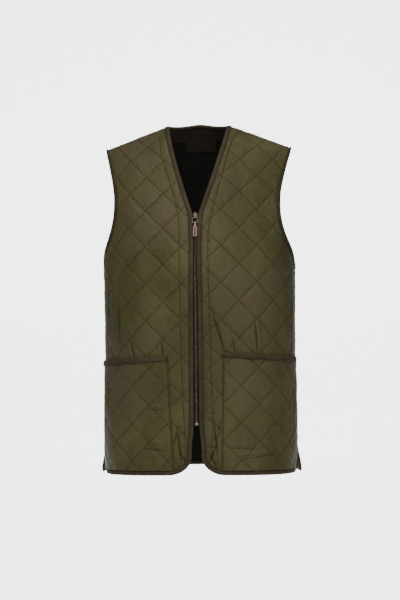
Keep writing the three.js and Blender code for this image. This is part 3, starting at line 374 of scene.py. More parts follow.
def inset(line, width, start=None, end=None):
    """The line moved to its left by a width, mitred; its ends may be given."""
    d = np.diff(line, axis=0)
    d /= np.linalg.norm(d, axis=1, keepdims=True)
    n = np.stack([-d[:, 1], d[:, 0]], axis=1)
    before, after = np.vstack([n[:1], n]), np.vstack([n, n[-1:]])
    middle = before + after
    middle /= np.linalg.norm(middle, axis=1, keepdims=True)
    moved = line + middle * (width / np.sum(middle * before, axis=1))[:, None]
    if start is not None:
        moved[0] = start
    if end is not None:
        moved[-1] = end
    return moved


def four_sided_grid(left, right, low, high, s, t):
    """A grid of cloth places between four edges, at shares s across and t up:
    the mix of the two sides plus the mix of the two ends less the mix of the corners."""
    def at(line, share):
        lengths = run_lengths(line)
        lengths /= lengths[-1]
        return np.stack([np.interp(share, lengths, line[:, k]) for k in (0, 1)], axis=1)
    L, R, B, T = at(left, t)[:, None], at(right, t)[:, None], at(low, s)[None], at(high, s)[None]
    S, V = s[None, :, None], t[:, None, None]
    corners = (1 - S) * (1 - V) * low[0] + S * (1 - V) * low[-1] + (1 - S) * V * high[0] + S * V * high[-1]
    return (1 - S) * L + S * R + (1 - V) * B + V * T - corners


# Relief of the quilting: heights, wave lengths, and reaches over which a thing fades
WAVE_COUNT = 14
WAVER, WAVER_LENGTH = 0.9, 55
SWELL_REACH = 3.4
FULLNESS, FULLNESS_VARIES = 0.46, 0.16
BROAD_SOFTNESS, FINE_SOFTNESS = (0.55, 50), (0.3, 19)
GATHER = {"height": 0.45, "length": 11, "reach": 8, "start": 1.2}
PLEAT = {"height": 0.5, "length": 9, "reach": 7, "start": 1.5}
FACING_STITCH_REACH, FACING_STITCH_POWER, FACING_STITCH_PRESS = 3.2, 1.3, 0.92
# The pleats' group length, and the depth and reach of the painted shade in their troughs
PLEAT_GROUP, PLEAT_SHADE_DEPTH, PLEAT_SHADE_REACH = 90, 0.5, 8
FOLD_FADE = 16


def waves(c, q, length, seed):
    """Smooth noise: a sum of sines of many directions near a wave length, between about -1 and 1."""
    made = np.random.default_rng(seed)
    total = np.zeros_like(c, dtype=float)
    angles = made.uniform(0, np.pi, WAVE_COUNT)
    phases = made.uniform(0, 2 * np.pi, WAVE_COUNT)
    for angle, phase, stretch in zip(angles, phases, made.uniform(0.7, 1.5, WAVE_COUNT)):
        k = 2 * np.pi / (length * stretch)
        total += np.sin(k * (c * np.cos(angle) + q * np.sin(angle)) + phase)
    return total / math.sqrt(WAVE_COUNT)


def quilt_uv(c, q, node):
    """Stitch coordinates: both are whole numbers where a stitched line runs. The lines waver a little."""
    phase = QUILTING[node]["phase"]
    u = (c - phase[0] + q - phase[1] + WAVER * waves(c, q, WAVER_LENGTH, 5)) / (2 * HALF_DIAMOND)
    v = (c - phase[0] - q + phase[1] + WAVER * waves(c, q, WAVER_LENGTH, 6)) / (2 * HALF_DIAMOND)
    return u, v


def gathers(c, q, distance, seed):
    """Small waves beside a stitched line, which fade away from it and on it."""
    fade, start = np.exp(-distance / GATHER["reach"]), 1 - np.exp(-distance / GATHER["start"])
    return fade * waves(c, q, GATHER["length"], seed) * start


def quilt_height(c, q, node):
    """Wadding pressed down at each stitched line and swelling between them, with small gathers at the
    lines: a product of two rounded steps in the distances to the lines of the two directions."""
    u, v = quilt_uv(c, q, node)
    seed = QUILTING[node]["seed"]
    du = np.abs(u - np.round(u)) * STITCH_SPACING
    dv = np.abs(v - np.round(v)) * STITCH_SPACING
    swell = (1 - np.exp(-du / SWELL_REACH)) * (1 - np.exp(-dv / SWELL_REACH))
    soft = BROAD_SOFTNESS[0] * waves(c, q, BROAD_SOFTNESS[1], seed + 2)
    soft = soft + FINE_SOFTNESS[0] * waves(c, q, FINE_SOFTNESS[1], seed + 3)
    gathered = gathers(c, q, du, seed) + gathers(c, q, dv, seed + 1)
    return PUFF * swell * (FULLNESS + FULLNESS_VARIES * soft) + GATHER["height"] * gathered


# The stitched line that holds each front's facing, as (x, z) seen from the front
FACING_LINES = {
    "left": [(77.7, -3.4), (69.8, -43), (59.8, -74.4), (46.2, -115.7), (35.5, -154.2), (31.9, -212),
             (31, -331), (28.2, -489.4), (23.1, -608), (24, -661)],
    "right": [(73.5, -3.4), (62.8, -40.6), (48.5, -95.4), (34, -154.2), (25.5, -208), (26.6, -331),
              (29.6, -461.7), (32.2, -588.4), (28.4, -636), (36.7, -663.6)],
}


def signed_distance(c, q, line):
    """Distance to a line that runs down the cloth, negative on its inner side, and how far down it is."""
    flat = np.stack([c.ravel(), q.ravel()], axis=1)
    best = np.full(len(flat), 1e9)
    signed, down = best.copy(), best.copy()
    run = 0
    for a, b in zip(line[:-1], line[1:]):
        d = b - a
        length = np.hypot(*d)
        t = ((flat - a) @ d) / length**2
        t = np.clip(t, 0, 1)
        away = flat - a - t[:, None] * d
        distance = np.hypot(away[:, 0], away[:, 1])
        nearer = distance < best
        side = np.where(d[0] * away[:, 1] - d[1] * away[:, 0] > 0, 1, -1)
        signed = np.where(nearer, side * distance, signed)
        down = np.where(nearer, run + t * length, down)
        best = np.minimum(best, distance)
        run += length
    return signed.reshape(c.shape), down.reshape(c.shape)


def facing_relief(height, away, down, seed):
    """The line that holds the facing presses the wadding down: the height times 1 less a bell of the
    distance from the line, plus small pleats square to it that fade away from it and on it."""
    near = np.abs(away)
    fade, start = np.exp(-near / PLEAT["reach"]), 1 - np.exp(-near / PLEAT["start"])
    pleats = pleat_waves(away, down, seed) * fade * start
    held = 1 - FACING_STITCH_PRESS * np.exp(-((near / FACING_STITCH_REACH) ** FACING_STITCH_POWER))
    return height * held + PLEAT["height"] * pleats


def pleat_waves(away, down, seed):
    """Waves along a stitched line that stay nearly the same square to it."""
    return waves(down, away * 0.25, PLEAT["length"], seed)


def pleat_shade_depths(away, down, seed):
    """Depth in mm for painted shade where the pleats beside a stitched line are deepest: they come in groups
    along it.
    """
    deep = np.clip(-pleat_waves(away, down, seed) - 0.1, 0, None)
    grouped = smooth(waves(down, down * 0, PLEAT_GROUP, seed + 5) + 0.7)
    return PLEAT_SHADE_DEPTH * deep * grouped * np.exp(-((np.abs(away) / PLEAT_SHADE_REACH) ** 2))


def fold_height(c, q, folds, half):
    """Soft ridges: each is its height times exp(-4 (along / length)^2 - 4 (across / width)^2). All fade out
    beside the side seams."""
    height = np.zeros_like(c, dtype=float)
    for at_c, at_q, length, width, turn, out in folds:
        a = math.radians(turn)
        dc, dq = c - at_c, q - at_q
        along_it = (dc * math.cos(a) + dq * math.sin(a)) / length
        across = (-dc * math.sin(a) + dq * math.cos(a)) / width
        height += out * np.exp(-4 * along_it**2 - 4 * across**2)
    return height * smooth((half.width - np.abs(c)) / FOLD_FADE)


# Folds and creases, a row for each: c, q, length, width, turn in degrees, and height, below 0 for a crease
BODY_FOLDS = {
    "left": [(172, -345, 110, 26, 84, 2.6), (62, -400, 70, 24, 66, 1.8), (190, -560, 120, 30, 80, 2.2)],
    "right": [(60, -395, 80, 24, 104, 2.0), (120, -395, 66, 24, 98, 1.8), (196, -380, 120, 28, 88, 2.4),
              (110, -640, 90, 22, 176, 1.6)],
    "back": [(150, -400, 120, 30, 70, 2.4), (-140, -430, 130, 30, 108, 2.6), (20, -480, 150, 34, 92, 2.0)],
}
CREASES = {
    "left": [(138, -428, 34, 5, 72, 1.5), (131, -430, 49, 3, 71, -1.6), (68, -430, 35, 2.8, 86, -1.8),
             (75, -428, 24, 5, 86, 1.2), (100, -420, 26, 6, 60, 1), (156, -384, 84, 5, 87, 2.0),
             (163, -372, 110, 3.2, 90, -1.4), (182, -345, 80, 6, 88, 2.6), (204, -360, 120, 3.6, 92, -1.4),
             (60, -30, 26, 5, 20, 0.9), (66, -64, 22, 5, 160, 0.8), (120, -150, 60, 9, 40, 1),
             (150, -255, 60, 8, 30, 1.1), (90, -205, 50, 8, 152, 0.9), (215, -290, 46, 6, 20, 1),
             (34, -622, 60, 3, 84, -1.8), (27, -644, 36, 3, 62, -1.5), (41, -600, 40, 3, 102, -1.2)],
    "right": [(46, -398, 96, 3, 107, -2), (53, -396, 66, 6, 107, 1.6), (76, -424, 41, 2.8, 98, -1.6),
              (83, -422, 26, 5, 98, 1.1), (128, -402, 60, 5, 95, 1.5), (121, -404, 81, 2.8, 96, -1.7),
              (228, -370, 110, 7, 88, 1.8), (217, -380, 130, 3.6, 91, -1.3), (206, -390, 80, 7, 88, 1.2),
              (70, -58, 24, 5, 30, 0.9), (60, -100, 22, 5, 150, 0.9), (130, -190, 60, 9, 140, 1),
              (165, -262, 60, 8, 150, 1.1), (232, -262, 40, 6, 10, 1.3), (236, -276, 52, 3, 12, -1),
              (38, -608, 66, 3, 95, -1.9), (30, -640, 46, 3, 68, -1.8), (45, -584, 36, 3, 82, -1.3),
              (36, -656, 34, 3, 118, -1.5)],
    "back": [(70, -520, 70, 8, 80, 1.2), (-60, -360, 60, 8, 100, 1.2), (-120, -560, 60, 8, 60, 1),
             (160, -300, 60, 8, 140, 1.3), (-165, -290, 60, 8, 40, 1.3), (120, -600, 70, 8, 95, 1.1)],
    "pocket_left": [(82, -541, 30, 4.5, 2, 1.5), (84, -548, 41, 2.8, 3, -1), (84, -612, 32, 4.5, 3, 1.5),
                    (86, -627, 49, 2.8, 4, -1.3), (206, -520, 80, 6, 88, 2), (218, -560, 90, 6, 91, 1.8),
                    (196, -540, 102, 3, 90, -1.2), (120, -655, 60, 5, 2, 1.2), (150, -480, 40, 7, 160, 0.9)],
    "pocket_right": [(88, -618, 52, 4.5, 176, 1.7), (92, -626, 67, 2.8, 175, -1.2),
                     (126, -634, 76, 5, 6, 2.2), (132, -642, 102, 2.8, 6, -1.2), (232, -540, 90, 7, 88, 2),
                     (222, -560, 116, 3, 90, -1.3), (150, -655, 60, 5, 178, 1.1),
                     (110, -476, 40, 7, 20, 0.9)],
}


def cloth_place(half, side, folds):
    """place(c, q, lift): the point that lies lift above the wall's inner face."""
    def place(c, q, lift):
        shape = np.broadcast(c, q, lift).shape
        c, q, lift = (np.broadcast_to(np.asarray(v, float), shape).ravel() for v in (c, q, lift))
        out = half.point(c, q) + half.normal(c, q) * (lift + fold_height(c, q, folds, half))[:, None]
        out[:, 0] *= side
        return out.reshape(*shape, 3)
    return place


PLACES = {
    "left": cloth_place(FRONT, -1, BODY_FOLDS["left"]),
    "right": cloth_place(FRONT, 1, BODY_FOLDS["right"]),
    "back": cloth_place(BACK, 1, BODY_FOLDS["back"]),
}


# Meshes
def grid_faces(rows, columns, first=0, closed_rows=False, closed_columns=False):
    """Quads of a grid of points, row by row."""
    r = np.arange(rows if closed_rows else rows - 1)[:, None]
    c = np.arange(columns if closed_columns else columns - 1)[None]
    r2, c2 = (r + 1) % rows, (c + 1) % columns
    quads = np.stack([r * columns + c, r * columns + c2, r2 * columns + c2, r2 * columns + c], axis=-1)
    return quads.reshape(-1, 4) + first


def piece(name, points, faces, finishes, finish_of_face=None, maps=None, body="vest"):
    """A mesh from arrays, in metres at the origin, riding on a body. A map has one pair for each point."""
    mesh = bpy.data.meshes.new(name)
    faces = [f[f >= 0].tolist() for f in faces] if len(faces) and faces.min() < 0 else faces.tolist()
    mesh.from_pydata((np.asarray(points) * MM).tolist(), [], faces)
    for finish in finishes:
        mesh.materials.append(finish)
    if finish_of_face is not None:
        mesh.polygons.foreach_set("material_index", np.asarray(finish_of_face, np.int32))
    mesh.polygons.foreach_set("use_smooth", np.ones(len(mesh.polygons), bool))
    corner = np.empty(len(mesh.loops), np.int32)
    mesh.loops.foreach_get("vertex_index", corner)
    for map_name, pairs in (maps or {}).items():
        layer = mesh.uv_layers.new(name=map_name)
        layer.data.foreach_set("uv", np.asarray(pairs, float)[corner].ravel())
    mesh.update()
    thing = bpy.data.objects.new(name, mesh)
    bpy.context.scene.collection.objects.link(thing)
    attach(thing, body)
    return thing


def reverse(faces):
    """Each face turned over; a triangle keeps its empty fourth place."""
    turned = faces[:, ::-1].copy()
    three = faces[:, 3] < 0
    turned[three] = faces[three][:, [2, 1, 0, 3]]
    return turned


def rim_strip(outer_ring, inner_ring):
    """Triangles between a fine closed ring and one with every other point of it."""
    n = len(inner_ring)
    k = np.arange(n)
    f0, f1, f2 = outer_ring[2 * k], outer_ring[2 * k + 1], outer_ring[(2 * k + 2) % (2 * n)]
    i0, i1 = inner_ring, inner_ring[(k + 1) % n]
    return np.concatenate([np.stack(t, axis=1) for t in ((f0, f1, i0), (f1, f2, i1), (f1, i1, i0))])


def ring_of(rows, columns, step=1):
    """Indices round the border of a grid, taking every step-th point."""
    index = np.arange(rows * columns).reshape(rows, columns)
    low, right = index[0, :-1], index[:-1, -1]
    high, left = index[-1, :0:-1], index[:0:-1, 0]
    return np.concatenate([low, right, high, left])[::step]


def cap_ends(made):
    """Close both open ends of a swept tube with a filled face."""
    work = bmesh.new()
    work.from_mesh(made.data)
    bmesh.ops.holes_fill(work, edges=[e for e in work.edges if e.is_boundary], sides=0)
    work.to_mesh(made.data)
    work.free()


def shell(name, outer, inner, finishes, maps, flip):
    """A closed thin shell: a fine outer grid, an inner grid of half as many rows and columns, and a rim."""
    rows, columns = outer.shape[:2]
    small = inner[::2, ::2]
    r2, c2 = small.shape[:2]
    count = rows * columns
    front = grid_faces(rows, columns)
    behind = grid_faces(r2, c2, first=count)[:, ::-1]
    inner_ring = ring_of(r2, c2) + count
    strip = rim_strip(ring_of(rows, columns), inner_ring)[:, ::-1]
    strip = np.hstack([strip, np.full((len(strip), 1), -1)])
    faces = np.vstack([front, behind, strip])
    if flip:
        faces = reverse(faces)
    finish = np.concatenate([np.zeros(len(front)), np.ones(len(behind)), np.zeros(len(strip))])
    points = np.vstack([outer.reshape(-1, 3), small.reshape(-1, 3)])
    maps = {key: np.vstack([uv.reshape(-1, 2), uv[::2, ::2].reshape(-1, 2)]) for key, uv in maps.items()}
    return piece(name, points, faces, finishes, finish, maps)


EDGE_STEPS = (0, 0.5, 1.2, 2.2, 3.6)


def shares(length, step):
    """Shares along a side: close together near both ends, evenly stepped between; an odd count."""
    edge = np.array(EDGE_STEPS) / length
    count = max(4, int(round((1 - 2 * edge[-1]) * length / step)))
    count += count % 2
    middle = np.linspace(edge[-1], 1 - edge[-1], count + 1)[1:-1]
    made = np.concatenate([edge, middle, (1 - edge)[::-1]])
    return made if len(made) % 2 else np.delete(made, len(made) // 2)


# Finishes
class Nodes:
    """Short ways to add and join shader nodes in one material."""

    def __init__(self, name):
        self.material = bpy.data.materials.new(name)
        self.material.use_nodes = True
        self.tree = self.material.node_tree
        self.shader = self.tree.nodes["Principled BSDF"]

    def add(self, kind, **values):
        """A node of a kind, with its settings."""
        node = self.tree.nodes.new(kind)
        for key, value in values.items():
            setattr(node, key, value)
        return node

    def join(self, start, end):
        self.tree.links.new(start, end)

    def math(self, operation, a, b=None):
        """A sum, product or the like of two values or numbers."""
        node = self.add("ShaderNodeMath", operation=operation)
        for socket, value in zip(node.inputs, (a, b)):
            if value is None:
                continue
            if isinstance(value, (int, float)):
                socket.default_value = value
            else:
                self.join(value, socket)
        return node.outputs[0]

    def objects(self):
        return self.add("ShaderNodeTexCoord").outputs["Object"]

    def uv(self, name):
        """The two numbers of a piece's map."""
        return self.parts(self.add("ShaderNodeUVMap", uv_map=name).outputs[0])[:2]

    def parts(self, vector):
        """The vector's three numbers."""
        node = self.add("ShaderNodeSeparateXYZ")
        self.join(vector, node.inputs[0])
        return list(node.outputs)

    def changed(self, operation, vector, by):
        """The vector moved or stretched by another."""
        node = self.add("ShaderNodeVectorMath", operation=operation)
        self.join(vector, node.inputs[0])
        node.inputs[1].default_value = by
        return node.outputs[0]

    def span(self, value, low, high, to_low, to_high):
        """The value's range from low to high carried over to another range, and held at its ends."""
        node = self.add("ShaderNodeMapRange")
        self.join(value, node.inputs["Value"])
        limits = {"From Min": low, "From Max": high, "To Min": to_low, "To Max": to_high}
        for key, limit in limits.items():
            node.inputs[key].default_value = limit
        return node.outputs[0]

    def noise(self, vector, scale, detail=4.0, roughness=0.55):
        """Soft patches; the scale is how many there are in a metre."""
        node = self.add("ShaderNodeTexNoise")
        node.inputs["Scale"].default_value = scale
        node.inputs["Detail"].default_value = detail
        node.inputs["Roughness"].default_value = roughness
        self.join(vector, node.inputs["Vector"])
        return node.outputs["Fac"]

    def ramp(self, factor, stops):
        """A colour for each (place, colour) stop, mixed between them."""
        node = self.add("ShaderNodeValToRGB")
        while len(node.color_ramp.elements) < len(stops):
            node.color_ramp.elements.new(0.5)
        for element, (at, colour) in zip(node.color_ramp.elements, stops):
            element.position = at
            element.color = (*colour, 1)
        self.join(factor, node.inputs[0])
        return node.outputs[0]

    def blend(self, factor, a, b, way="MIX"):
        """Two colours mixed; the node's first, seventh and eighth inputs are the ones for colour."""
        node = self.add("ShaderNodeMix", data_type="RGBA", blend_type=way)
        for socket, value in ((node.inputs[0], factor), (node.inputs[6], a), (node.inputs[7], b)):
            if hasattr(value, "node"):
                self.join(value, socket)
            elif isinstance(value, (int, float)):
                socket.default_value = value
            else:
                socket.default_value = (*value, 1)
        return node.outputs[2]

    def bump(self, height, strength, distance, onto=None):
        """Small relief, laid onto another where one is given."""
        node = self.add("ShaderNodeBump")
        node.inputs["Strength"].default_value = strength
        node.inputs["Distance"].default_value = distance
        self.join(height, node.inputs["Height"])
        if onto is not None:
            self.join(onto, node.inputs["Normal"])
        return node.outputs[0]

    def into(self, socket, value):
        """Carry a value to one of the shader's sockets."""
        self.join(value, self.shader.inputs[socket])

    def set(self, **values):
        """Constant values on the shader's own sockets; an underscore stands for a space."""
        for key, value in values.items():
            self.shader.inputs[key.replace("_", " ")].default_value = value


# Colours as a picture's red, green and blue from 0 to 255
OLIVE = [(58, 56, 36), (67, 65, 41), (78, 75, 49)]
OLIVE_WARM = (77, 68, 52)
OLIVE_SHEEN = (235, 228, 190)
# Painted shade beside a stitched line and in its groove; the thread is the stitches' own colour
STITCH_SHADE, STITCH_GROOVE_SHADE, STITCH_THREAD = (34, 31, 17), (13, 12, 7), (66, 61, 38)
# Painted shade in the creases and along the sewn edges
CREASE_SHADE, SEAM_SHADE = (18, 17, 9), (20, 20, 12)
TAPE_TONES = [(47, 41, 26), (60, 52, 34)]
# The tape's margin and furrow colours are painted shade; it is paler towards its fold, and the thread is its
# own colour
TAPE_FOLD_PALE, TAPE_MARGIN_SHADE, TAPE_FURROW_SHADE, TAPE_THREAD = (70, 64, 44), (22, 19, 11), (24, 21, 13), (72, 64, 42)


def linear(red, green, blue):
    """A picture's 0 to 255 colour as the shader's linear one."""
    parts = np.array([red, green, blue]) / 255
    return tuple(np.where(parts <= 0.04045, parts / 12.92, ((parts + 0.055) / 1.055) ** 2.4).tolist())


def weave(m, vector, scale):
    """A plain weave: the higher of two crossed wave patterns."""
    pair = []
    for direction in ("X", "Z"):
        node = m.add("ShaderNodeTexWave", wave_type="BANDS", bands_direction=direction)
        node.inputs["Scale"].default_value = scale
        node.inputs["Distortion"].default_value = 0.4
        m.join(vector, node.inputs["Vector"])
        pair.append(node.outputs["Fac"])
    return m.math("MAXIMUM", *pair)


def line_closeness(m, value, half_width):
    """1 in the middle of a line where value is 0, falling to 0 at its half width."""
    share = m.math("DIVIDE", m.math("ABSOLUTE", value), half_width)
    return m.math("SUBTRACT", 1, m.math("MINIMUM", share, 1))


def strongest(m, values):
    """The greatest of several values."""
    while len(values) > 1:
        values = [m.math("MAXIMUM", values[0], values[1]), *values[2:]]
    return values[0]


# The quilting's stitched lines: half widths of the painted shade in the groove and beside it and of the
# thread, and pitch in mm, each told in stitch coordinates
GROOVE_HALF = 0.75 / STITCH_SPACING
SHADE_HALF = 1.5 / STITCH_SPACING
THREAD_HALF = 0.4 / STITCH_SPACING
STITCHES_A_CELL = STITCH_SPACING / 3.1
STITCH_SHARE = 0.74


def quilted_finish():
    """Satin-faced olive nylon: patchy tone, a fine weave and soft crumples, with painted shade in creases
    and at seams.
    Stitched lines lie at the whole numbers of the quilt coordinates and where the seam coordinate is 0.
    Each is a groove with painted shade that comes and goes, a softer painted shade beside it, and separate
    paler stitches along it."""
    m = Nodes("quilted_nylon")
    place = m.objects()
    tone = m.noise(m.changed("MULTIPLY", place, (1, 1, 0.5)), 11, 6, 0.62)
    warm = m.noise(m.changed("ADD", place, (3, 3, 3)), 6, 5)
    base = m.ramp(tone, list(zip((0.32, 0.5, 0.68), (linear(*colour) for colour in OLIVE))))
    base = m.blend(m.span(warm, 0.45, 0.68, 0, 0.65), base, linear(*OLIVE_WARM))
    fine = m.noise(place, 420, 2)
    base = m.blend(0.3, base, m.ramp(fine, [(0.3, (0.35,) * 3), (0.7, (0.65,) * 3)]), "OVERLAY")
    across, along_it = m.uv("quilt")
    from_seam, down_seam = (m.math("DIVIDE", value, STITCH_SPACING * MM) for value in m.uv("seam"))
    lines = [m.math("SUBTRACT", value, m.math("ROUND", value)) for value in (across, along_it)]
    lines.append(from_seam)
    groove = strongest(m, [line_closeness(m, value, GROOVE_HALF) for value in lines])
    shade = strongest(m, [line_closeness(m, value, SHADE_HALF) for value in lines])
    stitches = []
    for value, run in zip(lines, (along_it, across, down_seam)):
        step = m.math("FRACT", m.math("MULTIPLY", run, STITCHES_A_CELL))
        dash = m.math("LESS_THAN", step, STITCH_SHARE)
        stitches.append(m.math("MULTIPLY", dash, line_closeness(m, value, THREAD_HALF)))
    stitch = m.math("GREATER_THAN", strongest(m, stitches), 0.25)
    # Painted shade beside each stitched line in patches, and darker painted shade in its groove, broken up
    patchy = m.span(m.noise(place, 34, 3), 0.38, 0.6, 0.25, 1)
    base = m.blend(m.math("MULTIPLY", shade, m.math("MULTIPLY", patchy, 0.45)), base, linear(*STITCH_SHADE))
    broken = m.span(m.noise(place, 90, 3), 0.36, 0.58, 0.45, 1)
    base = m.blend(m.math("MULTIPLY", groove, broken), base, linear(*STITCH_GROOVE_SHADE))
    # Painted shade in the creases and along the sewn edges, where shade falls
    crease, sewn = m.uv("painted_shade")
    base = m.blend(m.span(crease, 0.2, 1.3, 0, 0.8), base, linear(*CREASE_SHADE))
    base = m.blend(m.math("MULTIPLY", sewn, 0.7), base, linear(*SEAM_SHADE))
    m.into("Base Color", m.blend(m.math("MULTIPLY", stitch, 0.55), base, linear(*STITCH_THREAD)))
    threads = m.bump(weave(m, place, 900), 0.1, 0.0002)
    crumple = m.bump(m.noise(place, 75, 6, 0.62), 0.32, 0.002, threads)
    m.into("Normal", m.bump(m.math("SUBTRACT", 1, groove), 0.6, 0.001, crumple))
    m.into("Roughness", m.span(tone, 0.3, 0.7, 0.44, 0.56))
    m.set(Specular_IOR_Level=0.16, Specular_Tint=(*linear(*OLIVE_SHEEN), 1))
    return m.material


def cloth_finish(name, tones, threads_a_metre, thread_strength, roughness, sheen=0.0):
    """Plain cloth or tape: two tones in soft patches, a weave, and a little lint."""
    m = Nodes(name)
    place = m.objects()
    tone = m.noise(place, 30, 5)
    m.into("Base Color", m.ramp(tone, [(0.35, linear(*tones[0])), (0.7, linear(*tones[1]))]))
    threads = m.bump(weave(m, place, threads_a_metre), thread_strength, 0.0004)
    m.into("Normal", m.bump(m.noise(place, 140, 4), 0.25, 0.001, threads))
    m.set(Roughness=roughness, Sheen_Weight=sheen, Sheen_Roughness=0.5, Specular_IOR_Level=0.3)
    return m.material


# The row of stitches on a folded tape: half widths in metres, and how many there are
TAPE_ROW_FURROW = 0.0008
TAPE_ROW_THREAD = 0.00035
TAPE_STITCHES_A_METRE = 340


def binding_finish():
    """Folded cotton tape, paler towards its fold, with painted shade along its inner margin and in the
    furrow of a row of stitches 2 mm from that margin. The tape map gives metres along it and metres from
    that margin."""
    m = Nodes("binding_tape")
    place = m.objects()
    tone = m.noise(place, 42, 5)
    base = m.ramp(tone, [(0.34, linear(*TAPE_TONES[0])), (0.68, linear(*TAPE_TONES[1]))])
    run, from_margin = m.uv("tape")
    # Paler towards the fold
    base = m.blend(m.span(from_margin, 0.0055, 0.0095, 0, 0.35), base, linear(*TAPE_FOLD_PALE))
    # Painted shade along the inner margin, where the tape meets the cloth
    base = m.blend(m.span(from_margin, 0.0, 0.002, 0.75, 0), base, linear(*TAPE_MARGIN_SHADE))
    row = m.math("SUBTRACT", from_margin, TAPE_ROW * MM)
    dash = m.math("LESS_THAN", m.math("FRACT", m.math("MULTIPLY", run, TAPE_STITCHES_A_METRE)), 0.72)
    furrow = line_closeness(m, row, TAPE_ROW_FURROW)
    # Painted shade in the stitch row's furrow
    base = m.blend(m.math("MULTIPLY", furrow, 0.6), base, linear(*TAPE_FURROW_SHADE))
    thread = m.math("MULTIPLY", dash, line_closeness(m, row, TAPE_ROW_THREAD))
    m.into("Base Color", m.blend(m.math("MULTIPLY", thread, 0.8), base, linear(*TAPE_THREAD)))
    threads = m.bump(weave(m, place, 620), 0.3, 0.0004)
    puckers = m.bump(m.noise(place, 170, 4), 0.3, 0.001, threads)
    m.into("Normal", m.bump(m.math("SUBTRACT", 1, furrow), 0.4, 0.0008, puckers))
    m.set(Roughness=0.76, Specular_IOR_Level=0.2)
    return m.material


def metal_finish(name, tones, roughness):
    """Aged metal: patchy tarnish, fine scratches, and a roughness that follows the tarnish."""
    m = Nodes(name)
    place = m.objects()
    tone = m.noise(place, 260, 6)
    m.into("Base Color", m.ramp(tone, [(0.3, linear(*tones[0])), (0.7, linear(*tones[1]))]))
    m.into("Normal", m.bump(m.noise(place, 1400, 3), 0.15, 0.0002))
    m.into("Roughness", m.span(tone, 0.2, 0.8, roughness - 0.08, roughness + 0.12))
    m.set(Metallic=1.0)
    return m.material


NYLON = quilted_finish()
LINING = cloth_finish("lining", [(9, 8, 5), (14, 12, 8)], 700, 0.15, 0.8)
BINDING = binding_finish()
FACING = cloth_finish("facing_cloth", [(34, 27, 16), (44, 35, 22)], 620, 0.3, 0.8, 0.02)
ZIP_CLOTH = cloth_finish("woven_zip_tape", [(9, 8, 5), (15, 13, 9)], 520, 0.5, 0.9)
BRASS = metal_finish("dull_brass", [(88, 81, 67), (150, 142, 122)], 0.38)
TARNISH = metal_finish("tarnished_nickel", [(52, 47, 38), (96, 88, 72)], 0.42)
NICKEL = metal_finish("aged_nickel", [(104, 96, 80), (160, 148, 126)], 0.3)
COPPER = metal_finish("pink_copper", [(112, 90, 84), (160, 134, 126)], 0.38)
INSET = metal_finish("pull_inset", [(78, 58, 60), (100, 78, 80)], 0.48)


# Panels: lifts are above a wall's inner face, and reaches are lengths over which a thing fades
FRONT_STEP, BACK_STEP, POCKET_STEP = 1.9, 2.3, 1.9
FRONT_SPAN, BACK_SPAN, POCKET_SPAN = (240, 720), (540, 735), (205, 225)
STITCH_LIFT = WALL - 0.35
LINING_LIFT = 0.1
SEAM_DIP, SEAM_DIP_REACH, SEAM_HOLD = 1.4, 4, 7
TUCK_REACH = 5
UNDER_TAPE = 1.5
FRONT_RISE, BACK_RISE, POCKET_RISE = 8, 9, 8
EDGE_PLEAT = {"height": 0.45, "length": 10, "reach": 8}
SEWN_SHADE_REACH = 4
NECK_FULLNESS = 0.9
FACING_SEED, EDGE_SEED, POCKET_SEED = 61, 71, 81
POCKET_SEAT = WALL + GAP
POCKET_VENT_GAP = (0.2, 1)
POCKET_STITCH_IN, POCKET_FLAT, POCKET_ROUND, POCKET_SINK, POCKET_SHADE_IN = 3.2, 2, 1.6, 0.25, 2.5
MIRRORED = np.array([-1, 1])
NO_LINE = 1.0  # so far away that no stitched line shows


def side_lines(outline):
    """A panel's right-hand side, from the vent's foot up to the shoulder's tip."""
    return np.vstack([along(outline["vent"], 30), outline["side"], outline["armhole"][1:]])


def edge_dip(distance, reach):
    """1 away from an edge, easing down to 0 on it as a quarter circle."""
    near = np.clip(distance / reach, 0, 1)
    return np.sqrt(np.clip(1 - (1 - near) ** 2, 0, 1))


def seam_dip(seam):
    """How far the outer face dips into a seam: a quarter circle of the distance from it."""
    return SEAM_DIP * (1 - edge_dip(seam, SEAM_DIP_REACH))


def border_distance(grid, lines):
    """Distance of each grid place to the nearest of some lines in the flat cloth."""
    flat = grid.reshape(-1, 2)
    best = np.full(len(flat), 1e9)
    for line in lines:
        for a, b in zip(line[:-1], line[1:]):
            d = b - a
            t = np.clip(((flat - a) @ d) / (d @ d), 0, 1)
            best = np.minimum(best, np.hypot(*(flat - a - t[:, None] * d).T))
    return best.reshape(grid.shape[:2])


def pocket_lines(name):
    """A pocket's corners in the flat: the mouth's inner and outer ends, and the foot of its inner side."""
    pocket = POCKETS[name]
    inner = FRONT.place_of(*pocket["inner"])[0]
    outer = np.array([FRONT.width, pocket["outer"]])
    foot_c = c_at(FRONT, pocket["foot"])
    foot = np.array([foot_c, float(hem_row(FRONT, foot_c)) + BAND])
    return inner, outer, foot


def pocket_share(name, c, q, step=3):
    """1 on the pocket's ground, 0 off it, with a soft step between."""
    inner, outer, foot = pocket_lines(name)
    top = mix(inner[1], outer[1], (c - inner[0]) / (outer[0] - inner[0]))
    start = mix(foot[0], inner[0], (q - foot[1]) / (inner[1] - foot[1]))
    return smooth((top - q) / step + 0.5) * smooth((c - start) / step + 0.5)


def painted_shade_masks(folds, seam):
    """Masks for painted shade: how deep the creases are in mm, and how near the sewn edges by the bell
    exp(-(distance / reach)^2).
    """
    return np.stack([-np.minimum(0, folds), np.exp(-((seam / SEWN_SHADE_REACH) ** 2))], axis=-1)


def sew_panel(name, node, place, grid, lifts, seam_map, painted_shade, flip, tuck=0.0):
    """A quilted piece from its flat grid: its outer face and plain lining at their lifts, with its maps."""
    c, q = grid[..., 0], grid[..., 1]
    maps = {"quilt": np.stack(quilt_uv(c, q, node), axis=-1), "seam": seam_map, "painted_shade": painted_shade}
    outer, inner = (place(c, q, lift) + tuck for lift in lifts)
    made = shell(name, outer, inner, [NYLON, LINING], maps, flip)
    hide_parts(node)


